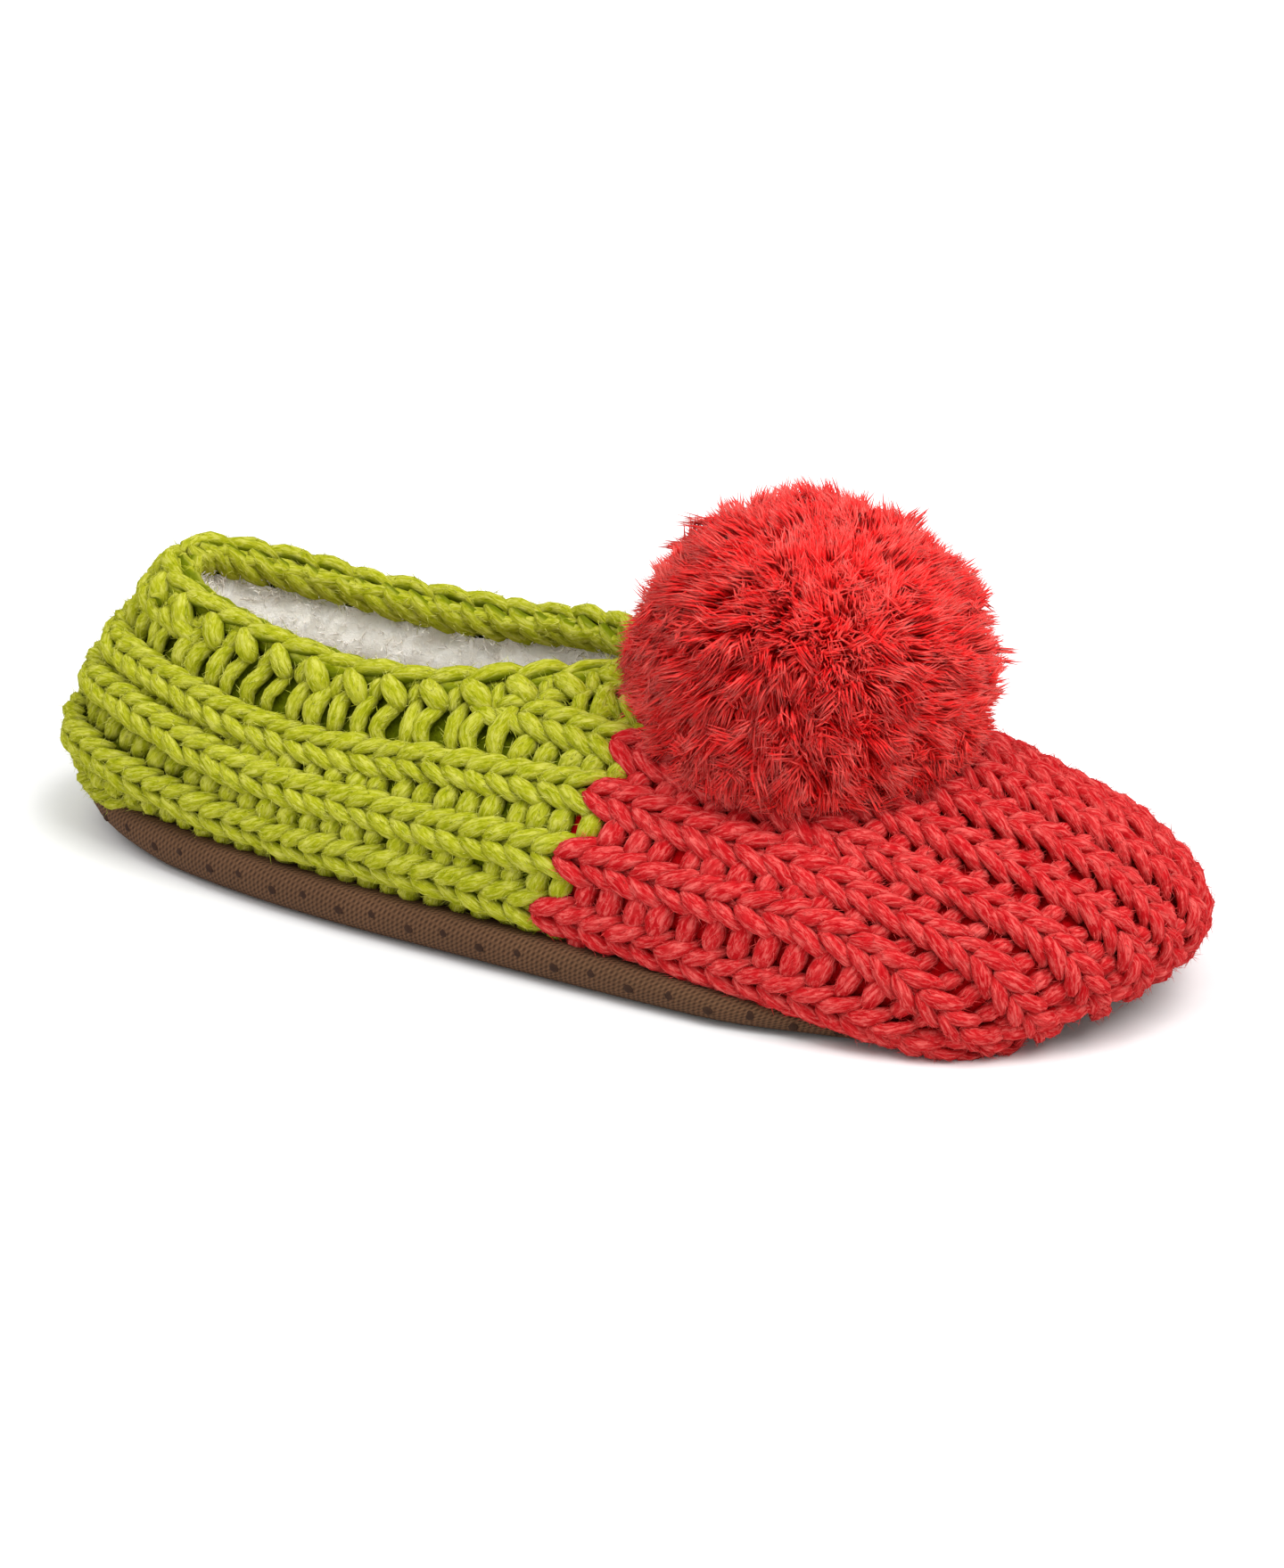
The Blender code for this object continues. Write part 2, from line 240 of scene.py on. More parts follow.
class Wall:
    """The upper's outer face laid out for knitting: along it the sections, up it the ridges."""

    def __init__(self):
        self.line, self.throat = last_lines(SECTION_COUNT)
        self.shares = np.linspace(LOWEST_SHARE, 1.0, HEIGHT_COUNT)
        self.grid = wall_surface(self.line, self.shares)
        self.normals = wall_normals(self.grid, self.throat)
        field = self.ridge_field()
        self.rim_ridge = field[:, -1]
        self.hem_ridge = self.at_hem(field)
        self.floor_ridge = field[:, 0]
        self.ridges = np.arange(RIDGE_LOW, RIDGE_HIGH, RIDGE_FINE)
        self.place = np.empty((SECTION_COUNT, len(self.ridges), 3))
        self.out = np.empty_like(self.place)
        for i in range(SECTION_COUNT):
            rows = np.interp(self.ridges, field[i], HEIGHT_NUMBERS)
            low = np.minimum(rows.astype(int), HEIGHT_COUNT - 2)
            part = (rows - low)[:, None]
            self.place[i] = self.grid[i, low] * (1 - part) + self.grid[i, low + 1] * part
            self.out[i] = unit(self.normals[i, low] * (1 - part) + self.normals[i, low + 1] * part)
        self.along_step = np.gradient(self.place, axis=0)
        self.up_step = np.gradient(self.place, axis=1) / RIDGE_FINE

    def at_hem(self, table):
        """A table's values where the wall meets the sole."""
        return np.array([np.interp(0.0, self.shares, row) for row in table])

    def ridge_field(self):
        """The ridge number at each grid point, counted up from the hem, with parts of a ridge between."""
        climbed = run_length(self.grid)
        climbed -= self.at_hem(climbed)[:, None]
        heights = ridge_heights(climbed[:, -1], self.throat)
        numbers = np.arange(MIDDLE_RIDGE + 1.0)
        rows = [np.interp(row, run + numbers * TINY, numbers) for row, run in zip(climbed, heights)]
        first = heights[:, :1]
        field = np.where(climbed < first, (climbed - first) / RIDGE_STEP, np.stack(rows))
        return np.maximum.accumulate(field + HEIGHT_NUMBERS * TINY, axis=1)

    def look(self, table, section, ridge):
        """The table's values between its grid points."""
        i = np.clip(section, 0, SECTION_COUNT - 1.001)
        k = np.clip((ridge - RIDGE_LOW) / RIDGE_FINE, 0, len(self.ridges) - 1.001)
        i0 = i.astype(int)
        k0 = k.astype(int)
        a = (i - i0)[..., None]
        b = (k - k0)[..., None]
        return (
            table[i0, k0] * (1 - a) * (1 - b)
            + table[i0 + 1, k0] * a * (1 - b)
            + table[i0, k0 + 1] * (1 - a) * b
            + table[i0 + 1, k0 + 1] * a * b
        )

    def ridge_line(self, ridge):
        """A ridge's line from heel to toe: lengths along it and its points."""
        points = self.look(self.place, SECTION_NUMBERS, np.full(SECTION_COUNT, float(ridge)))
        return run_length(points), points

    def square(self, section, ridge):
        """At places on a ridge: the point, the outward direction, and the upward one square to the ridge."""
        ridge = np.full(section.shape, float(ridge))
        spot = self.look(self.place, section, ridge)
        out = unit(self.look(self.out, section, ridge))
        along = self.look(self.along_step, section, ridge)
        sideways = unit(np.cross(out, along))
        up = self.look(self.up_step, section, ridge)
        return spot, out, sideways * np.where((sideways * up).sum(-1, keepdims=True) < 0, -1.0, 1.0)

    def levels(self, section):
        """The ridge numbers at the rim, at the hem and at the wall's lowest edge."""
        lines = (self.rim_ridge, self.hem_ridge, self.floor_ridge)
        return [np.interp(section, SECTION_NUMBERS, line) for line in lines]


wall = Wall()
chance = np.random.default_rng(11)

# Strands: one is modelled, and its copies are laid along their own lines
YARN_LUMPS = 0.11
UV_SPREAD = 4000.0
HAIR_SHAPE = ((0.0, 1.0), (1.0, 0.3))
HAIR_RADII = (0.05, 0.1)
HAIR_LENGTHS = (0.9, 2.6)
HAIR_RISE = (0.15, 0.8)
HAIR_FAN = 1.25


def chances(count, columns):
    """Columns of seeded chance, with a row for each strand."""
    return np.split(chance.normal(0.0, 1.0, (count, columns)), columns, axis=1)


def deselect():
    bpy.ops.object.select_all(action="DESELECT")


def edit_all():
    """Edit mode on the active object, with all of it selected."""
    bpy.ops.object.mode_set(mode="EDIT")
    bpy.ops.mesh.select_all(action="SELECT")


def face_outwards():
    """Turns all the faces of the edited object outwards, and leaves edit mode."""
    bpy.ops.mesh.select_all(action="SELECT")
    bpy.ops.mesh.normals_make_consistent(inside=False)
    bpy.ops.object.mode_set(mode="OBJECT")


def take_mesh(piece):
    """A modelled object's points and faces, once it is only a pattern for copies."""
    mesh = piece.data
    points = np.array([v.co for v in mesh.vertices])
    faces = [tuple(p.vertices) for p in mesh.polygons]
    bpy.data.objects.remove(piece)
    bpy.data.meshes.remove(mesh)
    return points, faces


def model_strand(sides, profile, pointed=False):
    """One straight strand along X, drawn out ring by ring, each with its place from 0 to 1 and its radius."""
    deselect()
    turned = (0, math.pi / 2, 0)
    bpy.ops.mesh.primitive_circle_add(vertices=sides, radius=profile[0][1], fill_type="NGON", rotation=turned)
    strand = bpy.context.object
    bpy.ops.object.transform_apply(location=True, rotation=True, scale=True)
    edit_all()
    for (near, small), (far, big) in zip(profile[:-1], profile[1:]):
        bpy.ops.mesh.extrude_region_move(TRANSFORM_OT_translate={"value": (far - near, 0, 0)})
        bpy.ops.transform.resize(value=(1, big / small, big / small), center_override=(far, 0, 0))
    if pointed:
        bpy.ops.mesh.merge(type="CENTER")
    face_outwards()
    points, faces = take_mesh(strand)
    places = np.array([place for place, _ in profile])
    turn = np.arctan2(points[:, 1], -points[:, 2]) / (2 * math.pi)
    corner_turn = []
    for face in faces:
        turns = turn[list(face)]
        wrapped = turns.max() - turns.min() > 0.5 and len(face) == 4
        corner_turn.append(np.where((turns < 0) & wrapped, turns + 1.0, turns))
    return {
        "rings": np.abs(points[:, :1] - places[None]).argmin(axis=1),
        "y": points[:, 1],
        "z": points[:, 2],
        "corner_point": np.concatenate([np.array(face) for face in faces]),
        "corner_turn": np.concatenate(corner_turn),
        "face_sizes": np.array([len(face) for face in faces]),
    }


def lay_strands(pattern, lines, up, width, lumps=0.0):
    """Copies of the modelled strand along lines [strand, ring, xyz], with up as the side that shows."""
    along = unit(np.gradient(lines, axis=1))
    side = unit(np.cross(up, along))
    top = np.cross(along, side)
    ring = pattern["rings"]
    points = (
        lines[:, ring]
        + side[:, ring] * (pattern["y"] * width[:, ring])[..., None]
        + top[:, ring] * (pattern["z"] * width[:, ring])[..., None]
    )
    if lumps:
        points = points + chance.normal(0.0, lumps, points.shape)
    return {"pattern": pattern, "points": points, "far": run_length(lines)[:, ring]}


def lay_loose(pattern, lines, radii, draw):
    """Copies of a thin strand along the lines, each turned and sized by chance."""
    count = len(lines)
    up = unit(np.cross(np.gradient(lines, axis=1), draw.normal(0, 1, (count, 1, 3))))
    width = np.broadcast_to(draw.uniform(*radii, (count, 1)), lines.shape[:2])
    return lay_strands(pattern, lines, up, width)


def join_strands(name, batches, seed):
    """One mesh from all the copies, with a UV map of millimetres along each strand and turns round it."""
    draw = np.random.default_rng(seed)
    points = []
    corners = []
    sizes = []
    uvs = []
    start = 0
    for batch in batches:
        pattern = batch["pattern"]
        count, each = batch["points"].shape[:2]
        points.append(batch["points"].reshape(-1, 3))
        offsets = start + np.arange(count) * each
        corners.append((pattern["corner_point"] + offsets[:, None]).ravel())
        sizes.append(np.tile(pattern["face_sizes"], count))
        along = batch["far"][:, pattern["corner_point"]] + draw.uniform(0, UV_SPREAD, (count, 1))
        around = np.broadcast_to(pattern["corner_turn"], along.shape)
        uvs.append(np.stack([along, around], axis=-1).reshape(-1, 2))
        start += count * each
    points = np.concatenate(points)
    points[:, 2] = np.maximum(points[:, 2], FLOOR_GAP)
    return new_mesh(name, points, np.concatenate(corners), np.concatenate(sizes), np.concatenate(uvs))


def new_mesh(name, points, corners, sizes, uvs=None):
    """A smooth piece from its points, its faces' corners in a row, how many each face has, and their UVs."""
    mesh = bpy.data.meshes.new(name)
    mesh.vertices.add(len(points))
    mesh.vertices.foreach_set("co", (points * MM).astype(np.float32).ravel())
    mesh.loops.add(len(corners))
    mesh.loops.foreach_set("vertex_index", corners.astype(np.int32))
    mesh.polygons.add(len(sizes))
    starts = np.concatenate([[0], np.cumsum(sizes)[:-1]])
    mesh.polygons.foreach_set("loop_start", starts.astype(np.int32))
    mesh.polygons.foreach_set("use_smooth", np.ones(len(sizes), dtype=bool))
    if uvs is not None:
        layer = mesh.uv_layers.new(name="yarn")
        layer.data.foreach_set("uv", uvs.astype(np.float32).ravel())
    mesh.update(calc_edges=True)
    mesh.validate()
    piece = bpy.data.objects.new(name, mesh)
    bpy.context.scene.collection.objects.link(piece)
    return piece


def loose_fibres(name, strands, each, seed):
    """Fine hairs that stand off the laid strands, most of them leaning along the yarn."""
    draw = np.random.default_rng(seed)
    hair = model_strand(3, HAIR_SHAPE, pointed=True)
    share = np.array([place for place, _ in HAIR_SHAPE])[None, :, None]
    batches = []
    for lines, up, width in strands:
        count, rings = lines.shape[:2]
        strand = np.repeat(np.arange(count), each)
        column = (len(strand), 1)
        ring = draw.integers(1, rings - 1, len(strand))
        step = lines[strand, ring + 1] - lines[strand, ring - 1]
        along = unit(step)
        top = unit(up[strand, ring])
        angle = draw.uniform(-HAIR_FAN, HAIR_FAN, column)
        outward = unit(top * np.cos(angle) + np.cross(top, along) * np.sin(angle))
        root = lines[strand, ring] + outward * width[strand, ring][:, None] * 0.9
        root += draw.uniform(-0.5, 0.5, column) * step
        way = along * draw.choice((-1.0, 1.0), column) + outward * draw.uniform(*HAIR_RISE, column)
        way = unit(way + draw.normal(0, 0.35, way.shape)) * draw.uniform(*HAIR_LENGTHS, column)
        batches.append(lay_loose(hair, root[:, None] + way[:, None] * share, HAIR_RADII, draw))
    return join_strands(name, batches, seed)


# Knit stitches: a leg's places are rows along the ridge, and millimetres aside from it and above it
LEG_SHAPE = (
    (0.0, 0.5), (0.1, 0.82), (0.25, 1.0), (0.45, 1.04), (0.64, 1.0), (0.8, 0.9), (0.92, 0.7), (1.0, 0.42)
)
LEG_FORWARD = np.array([-0.22, -0.06, 0.16, 0.44, 0.75, 1.04, 1.28, 1.48])
LEG_ASIDE = np.array([0.3, 0.55, 1.05, 1.75, 2.45, 2.95, 3.2, 3.25])
LEG_HEIGHT = np.array([-3.0, -1.9, -1.25, -0.95, -1.1, -1.6, -2.4, -3.3])
LEG_MIDDLE = 4
LEG_WIDTH = 1.62
LEG_WIDTH_SQUARE = 2.62
BEAD_SHAPE = ((0.0, 0.46), (0.1, 0.85), (0.34, 1.0), (0.66, 1.0), (0.9, 0.85), (1.0, 0.46))
CORE_SHAPE = ((0.0, 1.0), (0.5, 1.05), (1.0, 1.0))
CORE_FORWARD = np.array([-0.15, 0.5, 1.15])
TROUGH = 1.3

# Where the red begins on each ridge, and (x, value) rows along the slipper: the length of a row of knitting,
# how far the ridges stand out, the stitches' size, and how sharply a ridge rounds off
COLOUR_CHANGE = (4.6, 9.8, 12.6, 14.0, 16.0, 18.0)
ROW_LENGTHS = ((-115.0, 4.9), (-40.0, 5.25), (60.0, 5.6), (110.0, 5.2))
RIDGE_LIFTS = ((-122.0, 2.4), (-95.0, 1.9), (-60.0, 0.7), (20.0, 0.3), (120.0, 0.2))
LEG_SIZES = ((-95.0, 0.95), (-40.0, 1.0), (10.0, 1.05), (50.0, 1.04), (85.0, 0.98), (115.0, 0.93))
ROUND_OFFS = ((20.0, 24.0), (80.0, 7.0))
HALF_ROW = 2.5
HALF_TROUGH_ROW = 2.6
HEM_ROW = 5.2
HEM_ROLL_START = 30.0
SEAM_ROW = 4.3
MIDDLE_ROW = 5.35


def rows_on(ridge, first_gap):
    """Where a ridge's rows start, counted both ways from the change of colour; the change; its line."""
    length, points = wall.ridge_line(ridge)
    x = np.maximum.accumulate(points[:, 0])
    change = np.interp(np.interp(ridge, np.arange(len(COLOUR_CHANGE)), COLOUR_CHANGE), x, length)

    def row_at(far):
        return from_rows(ROW_LENGTHS, np.interp(far, length, points[:, 0]))

    forward = [change]
    while forward[-1] < length[-1] + 3.0:
        forward.append(forward[-1] + row_at(forward[-1]))
    backward = [change]
    while backward[-1] > first_gap:
        backward.append(backward[-1] - row_at(backward[-1]))
    starts = np.array(backward[:0:-1] + forward)
    return starts[starts >= first_gap], change, length, points


def leg_room(spots, ridge):
    """The share of a leg's full size that leaves a trough open before the ridge beside it, round the toe."""
    if ridge == MIDDLE_RIDGE:
        beside = middle_path()[1]
    else:
        beside = wall.ridge_line(ridge)[1][wall.rim_ridge > ridge]
    apart = np.linalg.norm(spots[:, None] - beside[None], axis=-1).min(axis=1)
    half = np.maximum(apart - TROUGH, 1.0) / 2.0
    reach = LEG_ASIDE[-1]
    room = (np.sqrt(LEG_WIDTH_SQUARE + 4.0 * reach * half) - LEG_WIDTH) / (2.0 * reach)
    return 1.0 + (np.clip(room, 0.68, 1.03) - 1.0) * smooth((spots[:, 0] - 55.0) / 25.0)


def stitch_legs(ridge, side):
    """The legs on one side of a ridge: their lines, up vectors, widths and which are red."""
    starts, change, length, points = rows_on(ridge, -2.0)
    rim, hem, floor = wall.levels(np.interp(starts + HALF_ROW, length, SECTION_NUMBERS))
    kept = (rim > ridge + (0.24 if side > 0 else 0.02)) & (floor < ridge - 0.1)
    if ridge < 0:
        kept &= hem < ridge + (0.7 if side > 0 else 0.0)
    starts = starts[kept]
    x = np.interp(starts, length, points[:, 0])
    shift, spread, rise, swell, _ = chances(len(starts), 5)
    forward = LEG_FORWARD * from_rows(ROW_LENGTHS, x)[:, None] + shift * 0.25
    at = np.interp(starts[:, None] + forward, length, SECTION_NUMBERS)
    spot, out, sideways = wall.square(at, ridge)
    size = from_rows(LEG_SIZES, x)[:, None]
    if ridge + side >= 0:
        size = size * leg_room(spot[:, LEG_MIDDLE], ridge + side)[:, None]
    aside = LEG_ASIDE * size**2 * (1 + spread * 0.06)
    lift = from_rows(RIDGE_LIFTS, spot[..., 0]) * np.linspace(1.0, 0.6, at.shape[1])
    round_off = from_rows(ROUND_OFFS, x)[:, None]
    height = LEG_HEIGHT + lift + rise * 0.2 - aside**2 / round_off
    if ridge < 0:
        height = height - 3.6 * smooth((np.interp(at, SECTION_NUMBERS, wall.hem_ridge) - ridge + 0.15) / 0.4)
    lines = spot + sideways * (aside * side)[..., None] + out * height[..., None]
    shown = unit(out + sideways * (aside * side / 9.0)[..., None])
    width = np.full(at.shape, LEG_WIDTH) * size * (1 + swell * 0.07)
    return lines, shown, width, starts >= change - 0.01


def ridge_core(ridge):
    """The yarn that runs on inside a ridge, seen at the foot of the small holes between its legs."""
    starts, change, length, points = rows_on(ridge, -1.0)
    rim, hem, _ = wall.levels(np.interp(starts + HALF_ROW, length, SECTION_NUMBERS))
    starts = starts[(rim > ridge + 0.02) & (hem < ridge + 0.05)]
    pitch = from_rows(ROW_LENGTHS, np.interp(starts, length, points[:, 0]))[:, None]
    at = np.interp(starts[:, None] + pitch * CORE_FORWARD, length, SECTION_NUMBERS)
    spot, out, _ = wall.square(at, ridge)
    lines = spot + out * (from_rows(RIDGE_LIFTS, spot[..., 0]) - 3.1)[..., None]
    return lines, out, np.full(at.shape, 1.5), starts >= change - 0.01


def hem_roll():
    """The yarn rolled under along the toe's hem, seen between the ends of the ridges."""
    low = int(np.interp(0.0, wall.shares, HEIGHT_NUMBERS))
    points = wall.grid[:, low] - wall.normals[:, low] * 3.0 + (0.0, 0.0, 0.6)
    length = run_length(points)
    first = np.interp(HEM_ROLL_START, np.maximum.accumulate(points[:, 0]), length)
    starts = np.arange(first, length[-1], HEM_ROW)
    share = np.linspace(-0.25, 1.25, len(BEAD_SHAPE))[None]
    at = np.interp(starts[:, None] + HEM_ROW * share, length, SECTION_NUMBERS)
    out = unit(on_line(at, SECTION_NUMBERS, wall.normals[:, low]))
    bow = 0.9 * np.sin((share + 0.25) / 1.5 * math.pi)
    lines = on_line(at, SECTION_NUMBERS, points) + out * bow[..., None]
    return lines, out, np.full(at.shape, 2.3), np.ones(len(starts), dtype=bool)


def heel_seam():
    """The stitches that close the knit down the middle of the heel, drawn tight between the ridges' ends."""
    low = int(np.interp(0.02, wall.shares, HEIGHT_NUMBERS))
    points = wall.grid[0, low:] * MIDDLE_PLANE
    facing = unit(wall.normals[0, low:] * MIDDLE_PLANE)
    length = run_length(points)
    starts = np.arange(0.6, length[-1] - 3.0, SEAM_ROW)
    shift, spread, rise = chances(len(starts), 3)
    share = np.linspace(-1.0, 1.0, len(BEAD_SHAPE))[None]
    at = starts[:, None] + 2.2 * (share + 1.0) + shift * 0.2
    out = on_line(at, length, facing)
    aside = share * (2.7 + 0.2 * spread)
    height = 1.1 - 2.6 * share**2 + 0.2 * rise
    lines = on_line(at, length, points) + out * height[..., None] + aside[..., None] * ACROSS
    return lines, out, np.full(at.shape, 1.55), np.zeros(len(starts), dtype=bool)


def middle_path():
    """The middle line from the throat over the toe to the hem: lengths, points, outward directions."""
    over = wall.grid[wall.throat + 4 :, -1]
    down = wall.grid[-1, -2::-1]
    points = np.vstack([over, down]) * MIDDLE_PLANE
    along = np.gradient(points, axis=0)
    out = unit(np.column_stack([-along[:, 2], np.zeros(len(along)), along[:, 0]]))
    return run_length(points), points, out


def middle_legs():
    """The legs of the ridge along the middle line, on its +Y side."""
    length, points, out = middle_path()
    starts = np.arange(2.0, length[-1] - 4.0, MIDDLE_ROW)
    shift, spread, swell = chances(len(starts), 3)
    at = starts[:, None] + (LEG_FORWARD * MIDDLE_ROW + shift * 0.2)
    spot = on_line(at, length, points)
    up = unit(on_line(at, length, out))
    room = leg_room(spot[:, LEG_MIDDLE], MIDDLE_RIDGE - 1)[:, None]
    size = from_rows(LEG_SIZES, spot[..., 0]) * room
    aside = LEG_ASIDE * size**2 * (1 + spread * 0.05)
    round_off = np.interp(at, (0.0, 40.0, length[-1]), (24.0, 7.0, 7.0))
    height = LEG_HEIGHT + 0.3 - aside**2 / round_off
    lines = spot + up * height[..., None] + aside[..., None] * ACROSS
    shown = unit(up + (aside / round_off * 2.0)[..., None] * ACROSS)
    width = LEG_WIDTH * size * (1 + swell * 0.06)
    return lines, shown, width, np.ones(len(starts), dtype=bool)


def trough_rows(ridge):
    """The rows that show above a ridge: their starts, the rim there, row lengths, which are red; the line."""
    level = ridge + 0.5
    starts, change, length, points = rows_on(level, -1.0)
    middle = np.interp(starts + HALF_TROUGH_ROW, length, SECTION_NUMBERS)
    rim, hem, floor = wall.levels(middle)
    kept = (rim > level - 0.1) & (floor < level - 0.2)
    rim = np.where(middle >= wall.throat, rim + 2.0, rim)
    if level < 0:
        kept &= hem < level + 0.12
    pitch = from_rows(ROW_LENGTHS, np.interp(starts, length, points[:, 0]))[:, None]
    return starts[kept], rim[kept], pitch[kept], (starts >= change + HALF_TROUGH_ROW)[kept], length


def trough_beads(ridge):
    """The purl bumps in the trough between a ridge and the next one."""
    starts, rim, pitch, is_red, length = trough_rows(ridge)
    chosen = rim > ridge + 1.22
    starts, pitch, is_red = starts[chosen], pitch[chosen], is_red[chosen]
    shift, spread, rise, swell, _ = chances(len(starts), 5)
    share = np.linspace(-0.5, 0.5, len(BEAD_SHAPE))[None]
    forward = (0.5 + share * 0.38) * pitch + shift * 0.3
    at = np.interp(starts[:, None] + forward, length, SECTION_NUMBERS)
    spot, out, sideways = wall.square(at, ridge + 0.5)
    toe = smooth((spot[..., 0] - 55.0) / 35.0)
    if ridge >= 0:
        level = np.full(at.shape, float(ridge))
        between = wall.look(wall.place, at, level + 1.0) - wall.look(wall.place, at, level)
        wide = np.clip(np.abs((between * sideways).sum(-1)) - 6.0, 4.8, 9.0)
        sunk = 0.55 * from_rows(RIDGE_LIFTS, spot[..., 0])
    else:
        wide = 5.6
        sunk = 0.8 * smooth((at - 60.0) / 40.0) - 0.6
    aside = share * (wide + spread * 0.3)
    height = -2.4 - 2.4 * share**2 - sunk + rise * 0.25 - 1.2 * toe
    lines = spot + sideways * aside[..., None] + out * height[..., None]
    width = (2.35 - 0.5 * toe) * (1 + swell * 0.07)
    return lines, out, width, is_red


def collar_strands(ridge):
    """The bars above the top ridge, which the edging draws up into tall bowed strands."""
    starts, rim, pitch, is_red, length = trough_rows(ridge)
    chosen = rim <= ridge + 1.36
    starts, rim, pitch, is_red = starts[chosen], rim[chosen], pitch[chosen], is_red[chosen]
    shift, sway, rise, swell, bowed = chances(len(starts), 5)
    share = np.linspace(0.0, 1.0, len(LEG_SHAPE))[None]
    low = ridge + 0.2
    place = low + (rim[:, None] - low) * share
    bow = 0.06 - 0.2 * np.sin(share * math.pi * 1.25) * (1 + 0.5 * bowed) + 0.2 * share
    bow = bow + 0.06 * sway * np.sin(share * 2.0 * math.pi)
    forward = (0.5 + bow) * pitch + shift * 0.45
    at = np.interp(starts[:, None] + forward, length, SECTION_NUMBERS)
    out = unit(wall.look(wall.out, at, place))
    height = -2.6 + 1.7 * np.sin(share * math.pi * 0.9) + rise * 0.2
    lines = wall.look(wall.place, at, place) + out * height[..., None]
    width = np.full(at.shape, 1.85) * (1 + swell * 0.12)
    return lines, out, width, is_red


# The strands laid so far, for their loose fibres
green_strands = []
red_strands = []


def knit():
    """All the stitches, as a green and a red piece."""
    leg = model_strand(8, LEG_SHAPE)
    bead = model_strand(8, BEAD_SHAPE)
    core = model_strand(6, CORE_SHAPE)
    green = []
    red = []

    def share_out(pattern, lines, out, width, is_red):
        for chosen, batch, laid_strands in ((~is_red, green, green_strands), (is_red, red, red_strands)):
            if chosen.any():
                strands = (lines[chosen], out[chosen], width[chosen])
                batch.append(lay_strands(pattern, *strands, lumps=YARN_LUMPS))
                laid_strands.append(strands)

    for turned in BOTH_SIDES:
        laid = [(leg, middle_legs()), (bead, hem_roll())]
        for ridge in range(LOWEST_RIDGE, MIDDLE_RIDGE):
            laid += [(leg, stitch_legs(ridge, -1)), (leg, stitch_legs(ridge, 1))]
            laid += [(bead, trough_beads(ridge)), (leg, collar_strands(ridge)), (core, ridge_core(ridge))]
        for pattern, (lines, out, width, is_red) in laid:
            share_out(pattern, lines * turned, out * turned, width, is_red)
    share_out(bead, *heel_seam())
    return join_strands("knit_heel", green, 1), join_strands("knit_toe", red, 2)


# Crocheted edge: each strand's places along the rim, outwards from its middle and up
RIM_WALL = 6.0
EDGE_RISE = 3.5
CHAIN_LINK = 8.7
ROPE_STEP = 5.8
LINK_ALONG = (-0.8, 0.6, 2.4, 4.6, 7.0, 9.2, 11.0, 12.4)
LINK_OUT = (0.5, 1.2, 1.9, 2.3, 2.2, 1.8, 1.1, 0.3)
LINK_IN = tuple(-place for place in LINK_OUT)
LINK_UP = (-0.5, -0.1, 0.5, 1.1, 1.6, 1.8, 1.7, 1.1)
BED_ALONG = (-1.0, 1.0, 3.0, 5.0, 7.0, 8.5, 9.2, 9.8)
BED_OUT = (0.0,) * len(BED_ALONG)
BED_UP = (-0.6,) * len(BED_ALONG)
POST_ALONG = (-0.2, 0.7, 1.9, 3.1, 4.0, 4.6)
POST_OUT = (1.6, 2.2, 2.7, 2.8, 2.3, 1.3)
POST_UP = (0.0, -1.1, -2.4, -3.8, -5.0, -5.8)
TIE_ALONG = (7.6, 7.4, 7.1, 6.8, 6.6, 6.6)
TIE_OUT = (1.2, 1.5, 1.6, 1.4, 1.0, 0.4)
TIE_UP = (-0.6, -1.6, -2.8, -4.0, -5.0, -5.8)
ROPE_ALONG = (-2.4, -0.2, 2.2, 4.6, 6.8, 8.6)
ROPE_OUT = (0.2, -1.6, -2.6, -3.0, -2.8, -2.0)
ROPE_UP = (2.0, 1.9, 0.9, -0.7, -2.3, -3.4)
NUB_PLACE = (14.0, 3.2, -5.0)


def rim_frame():
    """The edging's middle line on the +Y side from heel to throat: lengths, points, outward and upward."""
    grid = wall.grid
    lengthwise = np.gradient(grid, axis=0)
    last = wall.throat + 1
    out = unit(np.cross(grid[:, -1] - grid[:, -11], lengthwise[:, -22]))[:last]
    rim = grid[:last, -1]
    along = np.gradient(rim, axis=0)
    along[0] = ACROSS
    along[-1] = -ACROSS
    up = unit(np.cross(along, out))
    middle = rim - out * RIM_WALL / 2 + up * EDGE_RISE
    return run_length(middle), middle, out, up


def yarn_end(length, middle, out, up):
    """The end of the edging's yarn, left standing off the heel on the -Y side."""
    far, aside, rise = NUB_PLACE
    spot, outer, upper = (on_line(far, length, table) for table in (middle, out, up))
    share = np.linspace(0.0, 1.0, len(BEAD_SHAPE))[:, None]
    line = spot + outer * (aside + 3.4 * share) + upper * (rise + 1.6 * np.sin(share * 2.6))
    facing = np.broadcast_to(upper * MIRRORED, (1, *line.shape))
    return (line * MIRRORED)[None], facing, np.linspace(1.1, 0.6, len(share))[None]


